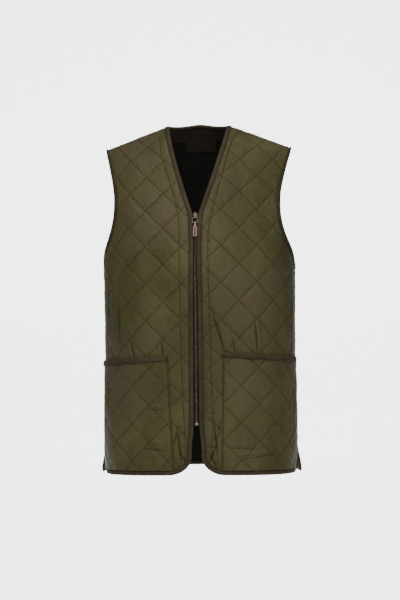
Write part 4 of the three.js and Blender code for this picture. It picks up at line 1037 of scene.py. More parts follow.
def build_front(name, side):
    """A front: the quilting's height, pressed down along the facing's stitches, plus pleats beside the bound
    edges, all fading out under the tape, at the seams and under the pocket, plus the creases."""
    node = "front_" + name
    outline = front_outline()
    corner = outline["corner"]
    middle = len(corner) // 2
    left = np.vstack([corner[: middle + 1][::-1], outline["edge"][::-1][1:], outline["neck"][::-1][1:]])
    low = np.vstack([corner[middle:], outline["hem"][1:]])
    s, t = (shares(span, FRONT_STEP) for span in FRONT_SPAN)
    grid = four_sided_grid(left, side_lines(outline), low, outline["shoulder"][::-1], s, t)
    c, q = grid[..., 0], grid[..., 1]
    bound = border_distance(grid, [along(outline["bound"], 150), along(outline["armhole"], 50)])
    seam = border_distance(grid, [outline["side"], along(outline["shoulder"], 12)])
    line = spline(FRONT.place_of(*np.array(FACING_LINES[name], float).T), 8)
    away, down = signed_distance(c, q, line)
    puff = facing_relief(quilt_height(c, q, node), away, down, FACING_SEED + side)
    pleats = EDGE_PLEAT["height"] * waves(c, q, EDGE_PLEAT["length"], EDGE_SEED + side)
    pleats = pleats * np.exp(-np.maximum(0, bound - BAND) / EDGE_PLEAT["reach"])
    puff = (puff + pleats) * smooth((bound - BAND + UNDER_TAPE) / FRONT_RISE) * smooth(seam / SEAM_HOLD)
    ground = pocket_share(name, c, q)
    folds = (1 - ground) * fold_height(c, q, CREASES[name], FRONT)
    lift = STITCH_LIFT + (1 - ground) * puff + folds - seam_dip(seam)
    # Painted shade in the pleats' troughs beside the facing's stitches
    pleat_shade = pleat_shade_depths(away, down, FACING_SEED + side) * (1 - ground)
    # The last map holds painted shade in the creases and pleats and along the seams
    sew_panel("quilted_" + node, node, PLACES[name], grid, (lift, LINING_LIFT),
              np.stack([away, down], axis=-1) * MM, painted_shade_masks(folds - pleat_shade, seam), side < 0)


def build_pocket(name, side):
    """A patch pocket on its front: the wall rounds down at its edges, and the quilting's height fades out
    there, at the side seam and along the row of stitches down its inner side."""
    node = "pocket_" + name
    inner_top, outer_top, foot = pocket_lines(name)
    c = np.linspace(foot[0], FRONT.width - FRONT_VENT_IN - BAND, 100)
    low = np.stack([c, hem_row(FRONT, c) + BAND], axis=1)
    vent_foot = [FRONT.width - VENT_IN - BAND, VENT_TOP - VENT_IN]
    vent_head = [FRONT.width - POCKET_VENT_GAP[0], VENT_TOP + POCKET_VENT_GAP[1]]
    right = np.vstack([low[-1], vent_foot, vent_head, outer_top])
    left = np.array([foot, inner_top])
    high = np.array([inner_top, outer_top])
    s, t = (shares(span, POCKET_STEP) for span in POCKET_SPAN)
    grid = four_sided_grid(left, right, low, high, s, t)
    c, q = grid[..., 0], grid[..., 1]
    edge = border_distance(grid, [left, high])
    away, down = signed_distance(c, q, np.array([inner_top, foot]) + [POCKET_STITCH_IN, 0])
    puff = facing_relief(quilt_height(c, q, node), away, down, POCKET_SEED + side)
    puff = puff * smooth((edge - POCKET_FLAT) / POCKET_RISE) * smooth((FRONT.width - c) / SEAM_HOLD)
    wall = POCKET_WALL * edge_dip(np.minimum(edge, border_distance(grid, [right])), POCKET_ROUND)
    folds = fold_height(c, q, CREASES[node], FRONT)
    lift = POCKET_SEAT + wall + puff + folds
    # Painted shade in the creases, along the pocket's edges and at the side seam
    painted_shade = painted_shade_masks(folds, np.minimum(edge + POCKET_SHADE_IN, FRONT.width - c))
    sew_panel("patch_" + node, node, PLACES[name], grid, (lift, POCKET_SEAT - POCKET_SINK),
              np.stack([away, down], axis=-1) * MM, painted_shade, side < 0)


def back_outline():
    """The lines round the back, each on its right half but the hem and the neck, which go all the way over.
    Seen from above, the neck is a half ellipse drawn a little fuller."""
    half = BACK
    foot_c = half.width - BACK_VENT_IN
    c = np.linspace(-foot_c, foot_c, 300)
    hem = np.stack([c, hem_row(half, c)], axis=1)
    vent = np.array([[foot_c, float(hem_row(half, foot_c))], [half.width - VENT_IN, VENT_TOP - VENT_IN]])
    shoulder = shoulder_line(half, 90)
    turn = np.linspace(0, np.pi, 121)
    x = NECK_X * np.cos(turn)
    neck = half.place_in_plan(x, NECK_BACK_DEPTH * np.maximum(0, np.sin(turn)) ** NECK_FULLNESS)
    neck[:, 0] = np.where(x < 0, -np.abs(neck[:, 0]), np.abs(neck[:, 0]))
    neck[0] = shoulder[-1]
    neck[-1] = shoulder[-1] * MIRRORED
    return {"hem": hem, "vent": vent, "side": side_seam(half), "armhole": armhole_edge(half),
            "shoulder": shoulder, "neck": neck}


def both_sides(*lines):
    """The lines and their mirror images."""
    return [half_line * way for half_line in lines for way in (1, MIRRORED)]


def build_back():
    """The back: the quilting's height, fading out under the tape and at the seams, plus the creases. It lies
    a little further in at the seams than the fronts, so that none of their gap shows."""
    outline = back_outline()
    hem, shoulder, neck = outline["hem"], outline["shoulder"], outline["neck"]
    right = side_lines(outline)
    high = np.vstack([shoulder, neck[1:], (shoulder * MIRRORED)[::-1][1:]])[::-1]
    s, t = (shares(span, BACK_STEP) for span in BACK_SPAN)
    grid = four_sided_grid(right * MIRRORED, right, hem, high, s, t)
    c, q = grid[..., 0], grid[..., 1]
    across_middle = [along(hem, 60), along(neck, 30)]
    bound = border_distance(grid, across_middle + both_sides(outline["vent"], along(outline["armhole"], 50)))
    seam = border_distance(grid, both_sides(outline["side"], along(shoulder, 12)))
    puff = quilt_height(c, q, "back") * smooth((bound - BAND + UNDER_TAPE) / BACK_RISE)
    puff = puff * smooth(seam / SEAM_HOLD)
    folds = fold_height(c, q, CREASES["back"], BACK)
    lift = STITCH_LIFT + puff + folds - seam_dip(seam)
    tuck = np.stack([seam * 0, -SEAM_TUCK * (1 - smooth(seam / TUCK_REACH)), seam * 0], axis=-1)
    # The last map holds painted shade in the creases and along the seams
    sew_panel("quilted_back", "back", PLACES["back"], grid, (lift, LINING_LIFT),
              np.stack([np.full_like(bound, NO_LINE), bound], axis=-1), painted_shade_masks(folds, seam), True, tuck)


# Bindings: folded tape, its section, and the small waves along it
TAPE_STEP = 3.0
LEG_POINTS, FOLD_POINTS = 8, 7
TAPE_DOME, TAPE_DOME_POWER = 0.45, 0.7
ROW_SINK, ROW_SINK_REACH, MARGIN_SINK = 0.35, 0.7, 0.35
TAPE_SHORT = 0.3
FINE_WAVE, BROAD_WAVE = 9, 21
FINE_RIPPLE, BROAD_RIPPLE = 0.16, 0.14
SINK_REACH, SINK_DEPTH = 9, 1.0
RIPPLE_FADE = 10
FRONT_TAPE_SEED, HEM_TAPE_SEED, NECK_TAPE_SEED, ARMHOLE_TAPE_SEED = 31, 37, 41, 43


def tape_profile():
    """Section of a folded tape as (distance in from the cloth's edge, lift): out along one leg,
    round the fold, back along the other, then the same inside. Each leg is a low dome, a power of a sine,
    with a bell pressed in at its row of stitches."""
    outer_lift, inner_lift = WALL + FOLD, -FOLD
    middle, radius = (outer_lift + inner_lift) / 2, (outer_lift - inner_lift) / 2
    leg = np.linspace(0, 1, LEG_POINTS)
    turn = np.linspace(0, np.pi, FOLD_POINTS + 2)[1:-1]
    dome = TAPE_DOME * np.sin(np.pi * np.clip(leg * 1.05, 0, 1)) ** TAPE_DOME_POWER
    row = -ROW_SINK * np.exp(-(((leg * BAND - TAPE_ROW) / ROW_SINK_REACH) ** 2))
    top_lift = outer_lift + (dome + row - MARGIN_SINK * (leg == 0))
    top = np.stack([BAND * (1 - leg), top_lift], axis=1)
    fold = np.stack([-FOLD * np.sin(turn), middle + radius * np.cos(turn)], axis=1)
    low = np.stack([BAND * leg, inner_lift - (dome + row)[::-1]], axis=1)
    clear = GAP * 0.5
    inside = np.array([[BAND, -clear], [0, -clear], [0, WALL + clear], [BAND, WALL + clear]])
    return np.vstack([top, fold, low, inside])


TAPE_PROFILE = tape_profile()


def tape_waves(lengths, length, seed):
    """Waves along a tape."""
    return waves(lengths, lengths * 0, length, seed)


def tape_points(edge, inner, place, ripple, sunk=0.0):
    """A folded tape's points, a row for each place on its edge: the profile's points share out the way from
    the edge to its inset, those past the edge go straight on, and the ripple lifts the legs' middles."""
    d, lift = TAPE_PROFILE[:, 0][None], TAPE_PROFILE[:, 1][None]
    share = np.clip(d / BAND, 0, 1) * (1 - TAPE_SHORT / BAND)
    c = edge[:, :1] + (inner[:, :1] - edge[:, :1]) * share
    q = edge[:, 1:] + (inner[:, 1:] - edge[:, 1:]) * share
    legs = np.zeros(len(TAPE_PROFILE))
    legs[1 : LEG_POINTS - 1] = 1
    legs[LEG_POINTS + FOLD_POINTS + 1 : 2 * LEG_POINTS + FOLD_POINTS - 1] = -1
    points = place(c, q, lift + ripple[:, None] * legs[None] - sunk)
    outward = place(edge[:, 0], edge[:, 1], 0) - place(inner[:, 0], inner[:, 1], 0)
    outward /= np.linalg.norm(outward, axis=1, keepdims=True)
    return points + outward[:, None] * np.maximum(0, -d)[..., None]


def seam_sink(lengths, ends):
    """How much a tape sinks towards the ends where it is sewn into a seam."""
    sink = np.zeros_like(lengths)
    if "start" in ends:
        sink += SINK_DEPTH * (1 - smooth(lengths / SINK_REACH))
    if "end" in ends:
        sink += SINK_DEPTH * (1 - smooth((lengths[-1] - lengths) / SINK_REACH))
    return sink


def tape_mesh(name, node, points, lengths, flip, profile=TAPE_PROFILE, band=BAND, closed=False):
    """A tape's body from its rows of section points, with a map of metres along it and metres in from the
    fold."""
    rows, columns = points.shape[:2]
    faces = grid_faces(rows, columns, closed_rows=closed, closed_columns=True)
    if flip:
        faces = reverse(faces)
    uv = np.stack(np.broadcast_arrays(lengths[:, None] * MM, (band - profile[:, 0])[None] * MM), axis=-1)
    maps = {"tape": uv.reshape(-1, 2)}
    made = piece(name, points.reshape(-1, 3), faces, [BINDING], maps=maps)
    if not closed:
        cap_ends(made)
    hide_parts(node)


def bind_edge(name, node, line, ends, place, flip, seed, seam_ends=()):
    """A folded tape along an open edge, with small gathers across it; ends are the inset's end places."""
    edge = along(line, step=TAPE_STEP)
    inner = inset(edge, BAND, *ends)
    lengths = run_lengths(edge)
    ripple = FINE_RIPPLE * waves(lengths, lengths * 0 + seed, FINE_WAVE, seed)
    ripple = ripple + BROAD_RIPPLE * tape_waves(lengths, BROAD_WAVE, seed + 1)
    sunk = seam_sink(lengths, seam_ends)[:, None] * (TAPE_PROFILE[:, 1] > WALL)[None]
    tape_mesh(name, node, tape_points(edge, inner, place, ripple, sunk), lengths, flip)


def seam_end(line):
    """The place one tape's width along a seam from its first point."""
    distance = np.linalg.norm(line - line[0], axis=1)
    k = int(np.argmax(distance >= BAND))
    t = (BAND - distance[k - 1]) / (distance[k] - distance[k - 1])
    return mix(line[k - 1], line[k], t)


def build_front_tape(name, side):
    """The tape round a front's neck, edge, corner, hem and vent."""
    outline = front_outline()
    ends = (seam_end(outline["shoulder"][::-1]), None)
    bind_edge("edge_tape_" + name, "binding_front_" + name, outline["bound"], ends, PLACES[name], side < 0,
              FRONT_TAPE_SEED + side, ["start"])


def build_back_tapes():
    """The tape along the back's vents and hem, and the one round its neck."""
    outline = back_outline()
    vent = outline["vent"]
    hem_run = np.vstack([(vent * MIRRORED)[::-1], outline["hem"][1:], vent[1:]])
    place = PLACES["back"]
    bind_edge("back_hem_tape", "binding_back_hem", hem_run, (None, None), place, True, HEM_TAPE_SEED)
    start = seam_end(outline["shoulder"][::-1])
    bind_edge("back_neck_tape", "binding_back_neck", outline["neck"], (start, start * MIRRORED), place, True,
              NECK_TAPE_SEED, ["start", "end"])


def build_armhole_tape(name, side):
    """A closed tape, up the front's armhole and down the back's. The halves meet in the mean of their end
    rows, at the shoulder and at the armpit, and its gathers fade out there."""
    runs = []
    for half, key, way in ((FRONT, name, 1), (BACK, "back", side)):
        edge = along(armhole_edge(half), step=TAPE_STEP)
        inner = inset(edge, BAND, np.array([half.width, ARMPIT - BAND]), seam_end(shoulder_line(half, 60)))
        lengths = run_lengths(edge)
        ripple = FINE_RIPPLE * tape_waves(lengths, FINE_WAVE, ARMHOLE_TAPE_SEED + side)
        fade = smooth(lengths / RIPPLE_FADE) * smooth((lengths[-1] - lengths) / RIPPLE_FADE)
        runs.append(tape_points(edge * [way, 1], inner * [way, 1], PLACES[key], ripple * fade))
    up, down = runs[0], runs[1][::-1]
    top, bottom = (up[-1] + down[0]) / 2, (up[0] + down[-1]) / 2
    points = np.concatenate([bottom[None], up[1:-1], top[None], down[1:-1]])
    lengths = np.arange(len(points)) * TAPE_STEP
    tape_mesh("armhole_tape_" + name, "armhole_binding_" + name, points, lengths, side < 0, closed=True)


MOUTH = {"dome": 0.55, "dome_power": 0.6, "row": 1.8, "row_sink": 0.4, "margin_sink": 1.0, "round": 2,
         "under": 0.3, "behind": 0.1}
MOUTH_LEG_POINTS = 12
MOUTH_RIPPLE, MOUTH_SWAY = (0.14, 9, 51), (0.2, 26, 52)
MOUTH_SAG, MOUTH_WAVER = 0.8, (0.5, 34, 55)
MOUTH_FLAT_END, MOUTH_FLAT_REACH = 0.6, 34


def mouth_profile():
    """Section of a mouth's tape as (distance down from the mouth, lift): a domed leg with its row of
    stitches pressed in, a quarter round over the top, and a flat back."""
    face = POCKET_SEAT + POCKET_WALL + PUFF * 0.5
    leg = np.linspace(0, 1, MOUTH_LEG_POINTS)
    from_row = ((1 - leg) * MOUTH_BAND - MOUTH["row"]) / ROW_SINK_REACH
    dome = MOUTH["dome"] * np.sin(np.pi * leg) ** MOUTH["dome_power"]
    dome = dome - MOUTH["row_sink"] * np.exp(-(from_row**2))
    turn = np.linspace(0, np.pi / 2, 6)[1:]
    high = face + FOLD - MOUTH["round"] + MOUTH["round"] * np.cos(turn)
    over = np.stack([mix(0, -FOLD, np.sin(turn)), high], axis=1)
    top = np.stack([MOUTH_BAND * (1 - leg), face + FOLD + dome - MOUTH["margin_sink"] * (leg == 0)], axis=1)
    under = face + MOUTH["under"]
    back = np.array([[-FOLD, POCKET_SEAT], [-MOUTH["behind"], POCKET_SEAT], [-MOUTH["behind"], under],
                     [MOUTH_BAND, under]])
    return np.vstack([top, over, back])


def build_mouth(name, side):
    """The tape over a pocket's mouth: its section is carried down along the mouth's slope. It sags as half a
    sine between its ends, wavers, and lies flatter towards the side seam."""
    inner, outer = pocket_lines(name)[:2]
    line = along(np.array([inner, outer]), step=TAPE_STEP)
    line[:, 0] = np.minimum(line[:, 0], FRONT.width)
    slope = (outer - inner) / np.linalg.norm(outer - inner)
    down = np.array([slope[1], -slope[0]])
    profile = mouth_profile()
    lengths = np.linalg.norm(line - line[0], axis=1)
    ripple = MOUTH_RIPPLE[0] * tape_waves(lengths, MOUTH_RIPPLE[1], MOUTH_RIPPLE[2] + side)
    ripple = ripple + MOUTH_SWAY[0] * tape_waves(lengths, *MOUTH_SWAY[1:])
    leg = np.zeros(len(profile))
    leg[1 : MOUTH_LEG_POINTS + 1] = 1
    c = np.minimum(line[:, :1] + down[0] * profile[:, 0][None], FRONT.width)
    q = line[:, 1:] + down[1] * profile[:, 0][None]
    sag = MOUTH_SAG * np.sin(np.pi * lengths / lengths[-1])[:, None]
    sag = sag + MOUTH_WAVER[0] * tape_waves(lengths, MOUTH_WAVER[1], MOUTH_WAVER[2] + side)[:, None]
    q = q - sag * np.clip(profile[:, 0] / MOUTH_BAND, 0, 1)[None]
    flat = 1 - MOUTH_FLAT_END * (1 - smooth((lengths[-1] - lengths) / MOUTH_FLAT_REACH))
    lift = POCKET_SEAT + (profile[:, 1] - POCKET_SEAT)[None] * flat[:, None]
    points = PLACES[name](c, q, lift + ripple[:, None] * leg[None])
    tape_mesh("mouth_tape_" + name, "pocket_binding_" + name, points, lengths, side < 0, profile, MOUTH_BAND)


# Zip: lifts are from the cloth's inner face, and the pull's heights are below its pivots
CHAIN = {"half": 2.75, "low": -3.1, "high": -0.6, "top": -164, "above_end": 3}
SLIDER = {"plate": 1.3, "front": -0.2, "back": -3.5, "top": -158}
PIVOT_OUT, PIVOT_DOWN = 4.7, 10.2
RING_HALF, RING_BAR, RING_DROP, RING_CORNER = 5.4, 1.2, 11.2, 2.4
TAB_HALF, TAB_TOP, TAB_TALL, TAB_THICK, TAB_CORNER = 4.0, 6.9, 21, 1.6, 1.6
TAB_RIM, TAB_INSET_IN = 1.4, 1.8
EYE_INSIDE, EYE_OUTSIDE = 1.3, 2.1
STOP_HALF, STOP_TALL, STOP_CORNER = 3.6, 5, 1.2
TOOTH_PITCH = 2.3
TOOTH = {"half": 1.75, "tall_half": 0.62, "corner": 0.3, "past_middle": 0.75, "head": 1.12, "foot": 0.85}
TOOTH_LEVELS = [(0.3, -1.15), (0, -0.85), (0, 0.75), (0.22, 1.05), (0.5, 1.15)]
TOOTH_WOBBLE = 0.04
ZIP_TAPE_INNER, ZIP_TAPE_STEP, ZIP_TAPE_PAST = CHAIN["half"] - 1.9, 3.0, 6
ZIP_TAPE_ACROSS = np.array([0, 0.3, 0.9, 1.5, 2.2, 4, 1e3])
ZIP_TAPE_LIFTS = np.array([-0.3, 0.05, 0.15, 0.05, -0.15, -0.15, -0.15])
MIDDLE = 0.001  # just beside the middle line, where both halves join


def middle_row(z):
    """The row where the front's middle is at a height."""
    return float(FRONT.place_of(MIDDLE, z)[0, 1])


class MiddleAxes:
    """Axes on the cloth's middle: x across, up the cloth, and out of it."""

    def __init__(self, row, down=0.0, out=0.0):
        c = np.array([MIDDLE])
        q = np.array([row])
        self.origin = FRONT.point(c, q)[0] * [0, 1, 1]
        normal = FRONT.normal(c, q)[0]
        turn = math.atan2(normal[2], -normal[1])
        self.out = np.array([0, -math.cos(turn), math.sin(turn)])
        self.up = np.array([0, math.sin(turn), math.cos(turn)])
        self.origin = self.origin - self.up * down + self.out * out

    def at(self, points):
        """Points given as (x, up, out)."""
        points = np.asarray(points, float)
        x, up, out = (points[..., k : k + 1] for k in (0, 1, 2))
        return self.origin + x * [1, 0, 0] + up * self.up + out * self.out


def rounded_outline(half, high, low, corner, count=6):
    """A rounded rectangle's points, counter-clockwise seen from the front: quarter circles joined."""
    turn = np.linspace(0, np.pi / 2, count)
    corners = ((half - corner, high - corner), (-half + corner, high - corner),
               (-half + corner, low + corner), (half - corner, low + corner))
    rounds = []
    for k, (x, y) in enumerate(corners):
        angle = turn + k * np.pi / 2
        rounds.append(np.stack([x + corner * np.cos(angle), y + corner * np.sin(angle)], axis=1))
    return np.vstack(rounds)


def inset_ring(outline, by):
    """A closed outline moved inwards by a distance, each point along the mean of its edges' normals."""
    before, after = np.roll(outline, 1, axis=0), np.roll(outline, -1, axis=0)
    along_it = after - before
    along_it /= np.linalg.norm(along_it, axis=1, keepdims=True)
    return outline + by * np.stack([-along_it[:, 1], along_it[:, 0]], axis=1)


def plate(outline, levels):
    """A body over an outline: one ring of points for each (inset, out) level, both ends closed by a fan."""
    rings = [np.hstack([inset_ring(outline, by), np.full((len(outline), 1), out)]) for by, out in levels]
    n, count = len(outline), len(rings)
    middle = outline.mean(axis=0)
    ends = np.array([[*middle, levels[0][1]], [*middle, levels[-1][1]]])
    points = np.vstack([*rings, ends])
    faces = grid_faces(count, n, closed_columns=True)
    k = np.arange(n)
    none = np.full(n, -1)
    low = np.stack([(k + 1) % n, k, np.full(n, count * n), none], axis=1)
    high = np.stack([k, (k + 1) % n, np.full(n, count * n + 1), none], axis=1)
    high[:, :2] += (count - 1) * n
    return points, np.vstack([faces, low, high])


def slab(outline, low, high, bevel=0.25):
    """A plate whose edges are rounded by quarter circles of a few steps."""
    return plate(outline, slab_levels(low, high, bevel))


def slab_levels(low, high, bevel):
    """The (inset, out) levels of a slab with rounded edges."""
    turn = np.linspace(0, np.pi / 2, 4)
    foot = [(bevel * (1 - math.sin(a)), low + bevel * (1 - math.cos(a))) for a in turn]
    top = [(bevel * (1 - math.cos(a)), high - bevel * (1 - math.sin(a))) for a in turn]
    return foot + top


def ring_bar(path, radius, sides=10):
    """A round bar along a closed path: circles square to it, each turned as little as can be from the
    last."""
    ahead = np.roll(path, -1, axis=0) - np.roll(path, 1, axis=0)
    ahead /= np.linalg.norm(ahead, axis=1, keepdims=True)
    normal = np.cross(ahead[0], [0.3, 0.5, 0.8])
    normals = []
    for direction in ahead:
        normal = normal - direction * np.dot(normal, direction)
        normal = normal / np.linalg.norm(normal)
        normals.append(normal)
    normals = np.array(normals)
    other = np.cross(ahead, normals)
    turn = np.linspace(0, 2 * np.pi, sides, endpoint=False)[None, :, None]
    points = path[:, None] + radius * (np.cos(turn) * normals[:, None] + np.sin(turn) * other[:, None])
    return points.reshape(-1, 3), grid_faces(len(path), sides, closed_rows=True, closed_columns=True)


def eye_band(half, up=0.0, out=0.0, bevel=0.2, count=28):
    """A short pipe around the x axis with bevelled rims, as (x, up, out) points, moved to its place."""
    high, low, flat = EYE_OUTSIDE, EYE_INSIDE, half - bevel
    section = np.array([[-flat, high], [flat, high], [half, high - bevel], [half, low + bevel],
                        [flat, low], [-flat, low], [-half, low + bevel], [-half, high - bevel]])
    turn = np.linspace(0, 2 * np.pi, count, endpoint=False)[:, None]
    x = np.broadcast_to(section[:, 0], (count, len(section)))
    r = section[:, 1][None]
    points = np.stack([x, r * np.cos(turn), r * np.sin(turn)], axis=-1).reshape(-1, 3) + [0, up, out]
    return points, grid_faces(count, len(section), closed_rows=True, closed_columns=True)


def joined(parts):
    """Several (points, faces, finish number) sets as one, with a finish number for each face."""
    points, faces, finish, count = [], [], [], 0
    for part_points, part_faces, number in parts:
        points.append(part_points)
        faces.append(np.where(part_faces >= 0, part_faces + count, -1))
        finish.append(np.full(len(part_faces), number))
        count += len(part_points)
    return np.vstack(points), np.vstack(faces), np.concatenate(finish)


def metal_piece(name, node, axes, parts, finishes, body):
    """A metal piece of several parts, placed by its axes."""
    points, faces, finish = joined(parts)
    made = piece(name, axes.at(points), faces, finishes, finish, body=body)
    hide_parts(node)


def build_teeth():
    """Two rows of rounded teeth that take turns along the chain, each a small bevelled block with a head
    that reaches past the middle, and each a little out of line."""
    wobbles = np.random.default_rng(TOOTH_SEED)
    outline = rounded_outline(TOOTH["half"], TOOTH["tall_half"], -TOOTH["tall_half"], TOOTH["corner"], 3)
    outline[:, 0] -= TOOTH["half"] - TOOTH["past_middle"]
    outline[:, 1] *= np.where(outline[:, 0] > 0, TOOTH["head"], TOOTH["foot"])
    block, faces = plate(outline, TOOTH_LEVELS)
    depth = (CHAIN["low"] + CHAIN["high"]) / 2
    rows = np.arange(middle_row(CHAIN["top"]), ZIP_END + CHAIN["above_end"], -TOOTH_PITCH / 2)
    parts = []
    for k, row in enumerate(rows):
        hand = 1 if k % 2 else -1
        wobble = wobbles.normal(0, TOOTH_WOBBLE, 2)
        points = MiddleAxes(row).at(block * [hand, 1, 1] + [wobble[0], wobble[1], depth])
        parts.append((points, faces if hand > 0 else reverse(faces), 0))
    points, faces, finish = joined(parts)
    made = piece("zip_teeth", points, faces, [BRASS], finish)
    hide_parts("zip_chain")


def build_zip_tape(name, side):
    """Woven tape behind the front edge, with a raised cord beside the teeth: a section of a few steps
    across, carried down the edge and cut off under the binding."""
    outline = front_outline()
    q = np.arange(middle_row(V_POINT), ZIP_END - ZIP_TAPE_PAST, -ZIP_TAPE_STEP)
    edge = np.interp(-q, -outline["edge"][:, 1], outline["edge"][:, 0])
    top = -FOLD - GAP
    c = np.minimum(ZIP_TAPE_INNER + ZIP_TAPE_ACROSS[None], edge[:, None] + BAND)
    upper = PLACES[name](c, q[:, None], top + ZIP_TAPE_LIFTS[None])
    lower = PLACES[name](c[:, ::-1], q[:, None], np.full(c.shape, top - TAPE))
    points = np.concatenate([upper, lower], axis=1)
    faces = grid_faces(len(q), points.shape[1], closed_columns=True)
    if side > 0:
        faces = reverse(faces)
    made = piece("woven_tape_" + name, points.reshape(-1, 3), faces, [ZIP_CLOTH])
    cap_ends(made)
    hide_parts("zip_tape_" + name)


SLIDER_OUTLINE = {
    "down": [0, 0.5, 1.6, 3.4, 5.2, 7.2, 9.8, 12.0, 12.6],
    "half": [1.8, 3.4, 4.9, 5.3, 4.9, 4.1, 3.8, 3.8, 3.3],
}


def slider_outline():
    """A curve through the table's half widths, mirrored into the slider's waisted outline."""
    table = np.stack([SLIDER_OUTLINE["half"], -np.array(SLIDER_OUTLINE["down"])], axis=1)
    right = along(spline(table, 6), 22)
    left = right[::-1] * MIRRORED
    return np.vstack([left, right])[::-1]


def build_slider():
    """Two waisted plates joined by a post, with a rib, a knob and an eye for the ring on the front one."""
    axes = MiddleAxes(middle_row(SLIDER["top"]))
    front, back, thick = SLIDER["front"], SLIDER["back"], SLIDER["plate"]
    outline = slider_outline()
    eye = -PIVOT_DOWN
    crown = [(0.3, front), (0, front + 0.3), (0, front + 0.8), (0.3, front + 1.1), (1.2, front + 1.35),
             (2.4, front + 1.45)]
    post = rounded_outline(1.5, -0.2, -3, 0.4)
    web = rounded_outline(1.2, eye + 1.7, eye - 1.7, 0.5)
    knob = rounded_outline(1.6, 2.2, -1.6, 1.1, 8)
    rib = rounded_outline(0.9, -2.6, eye + 1.4, 0.4)
    parts = [
        (*plate(outline, crown), 1),
        (*slab(outline, back - thick, back), 1),
        (*slab(post, back - 0.3, front + 0.3), 0),
        (*plate(web, [(0, front + 1.0), (0.2, 2.2), (0.5, PIVOT_OUT - 1.5)]), 0),
        (*plate(knob, [(0.9, 0.1), (0.2, 0.5), (0, 1.2), (0.3, 2.0), (0.9, 2.5)]), 0),
        (*plate(rib, [(0, front + 1.0), (0.1, front + 1.8), (0.4, front + 2.2)]), 0),
        (*eye_band(EYE_INSIDE, up=eye, out=PIVOT_OUT), 0),
    ]
    metal_piece("zip_slider_metal", "zip_slider", axes, parts, [NICKEL, TARNISH], "vest")


def build_pull():
    """The ring is a round bar bent into a rounded square. The tab hangs from it by an eye and a neck, and
    its face has a raised rim round a darker floor."""
    axes = MiddleAxes(middle_row(SLIDER["top"]), down=PIVOT_DOWN, out=PIVOT_OUT)
    bar = rounded_outline(RING_HALF - RING_BAR / 2, 0, -RING_DROP, RING_CORNER, 7)
    path = np.hstack([bar, np.zeros((len(bar), 1))])
    parts = [(*ring_bar(path, RING_BAR / 2), 0)]
    metal_piece("pull_ring", "pull_link", axes, parts, [NICKEL], "pull_ring")
    axes = MiddleAxes(middle_row(SLIDER["top"]), down=PIVOT_DOWN + RING_DROP, out=PIVOT_OUT)
    foot = -TAB_TOP - TAB_TALL
    half = TAB_THICK / 2
    body = rounded_outline(TAB_HALF, -TAB_TOP, foot, TAB_CORNER)
    rim = slab_levels(-half, half, 0.4) + [(1.25, half), (1.5, half - 0.3)]
    floor = rounded_outline(TAB_HALF - TAB_RIM, -TAB_TOP - TAB_INSET_IN, foot + TAB_INSET_IN, 0.3)
    neck = rounded_outline(1.3, -1.5, -TAB_TOP - 1.2, 0.3)
    parts = [
        (*plate(body, rim), 0),
        (*plate(floor, [(0.1, half - 0.5), (0.1, half - 0.22), (0.5, half - 0.16)]), 1),
        (*slab(neck, -half, half), 0),
        (*eye_band(1.8), 0),
    ]
    metal_piece("pull_tab_metal", "pull_tab", axes, parts, [COPPER, INSET], "pull")


def build_stop():
    """The end stop: a domed plate in front of the chain's foot, and a block between the tapes."""
    axes = MiddleAxes(ZIP_END + CHAIN["above_end"] - GAP)
    cap = rounded_outline(STOP_HALF, 0, -STOP_TALL, STOP_CORNER)
    block = rounded_outline(CHAIN["half"], 0, -STOP_TALL, STOP_CORNER / 2)
    parts = [
        (*plate(cap, [(0.3, -0.7), (0, -0.4), (0, 0.1), (0.5, 0.5), (1.4, 0.7)]), 0),
        (*slab(block, -3.4, -0.5), 0),
    ]
    metal_piece("zip_stop", "zip_bottom_stop", axes, parts, [NICKEL], "vest")


# Facing and patch behind the neck
FACING_DEPTH, FACING_MARGIN, FACING_THICK = 42, 9, 1.0
FACING_WIDEN, FACING_SIDE_SHARE, FACING_CORNER = 1.06, 0.55, 4
FACING_ROWS = [0.16, 0.18, 0.21, *np.linspace(0.26, 1, 22)]
PATCH_HALF, PATCH_BELOW, PATCH_TALL, PATCH_THICK = 22, 6, 44, 0.15
PATCH_COUNT = 31


def patch_top():
    """The patch's top row: a little below the neck's tape in the middle of the back."""
    neck_middle = BACK.place_in_plan(np.array([1e-6]), np.array([float(NECK_BACK_DEPTH)]))[0, 1]
    return float(neck_middle) - BAND - PATCH_BELOW


def lay_inside(name, node, c, q, lift, depth):
    """A thin cloth laid on the back's inside, from its lift to its depth below it, with an even side
    towards the back."""
    high = PLACES["back"](c, q, lift + 0 * c)
    low = PLACES["back"](c, q, lift - depth)
    made = two_sided(name, high, low)
    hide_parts(node)


def build_facing():
    """The facing follows the neck's edge down to a lower border that drops in the middle: its rows are mixed
    between the two lines."""
    neck = along(back_outline()["neck"], 161)
    middle = patch_top() + BAND + PATCH_BELOW
    foot = middle - BAND - PATCH_BELOW - PATCH_TALL - FACING_MARGIN
    foot_c = neck[:, 0] * FACING_WIDEN
    share = smooth((PATCH_HALF + FACING_MARGIN + FACING_CORNER / 2 - np.abs(foot_c)) / FACING_CORNER)
    side_low = np.minimum(middle - FACING_DEPTH, neck[:, 1] - FACING_DEPTH * FACING_SIDE_SHARE)
    foot_q = mix(side_low, foot, share)
    row = np.array(FACING_ROWS)[:, None]
    c = mix(neck[:, 0][None], foot_c[None], row)
    q = mix(neck[:, 1][None], foot_q[None], row)
    ripple = np.maximum(0, 0.25 * waves(c, q, 24, 91))
    lay_inside("neck_facing_cloth", "neck_facing", c, q, -GAP, FACING_THICK + ripple)


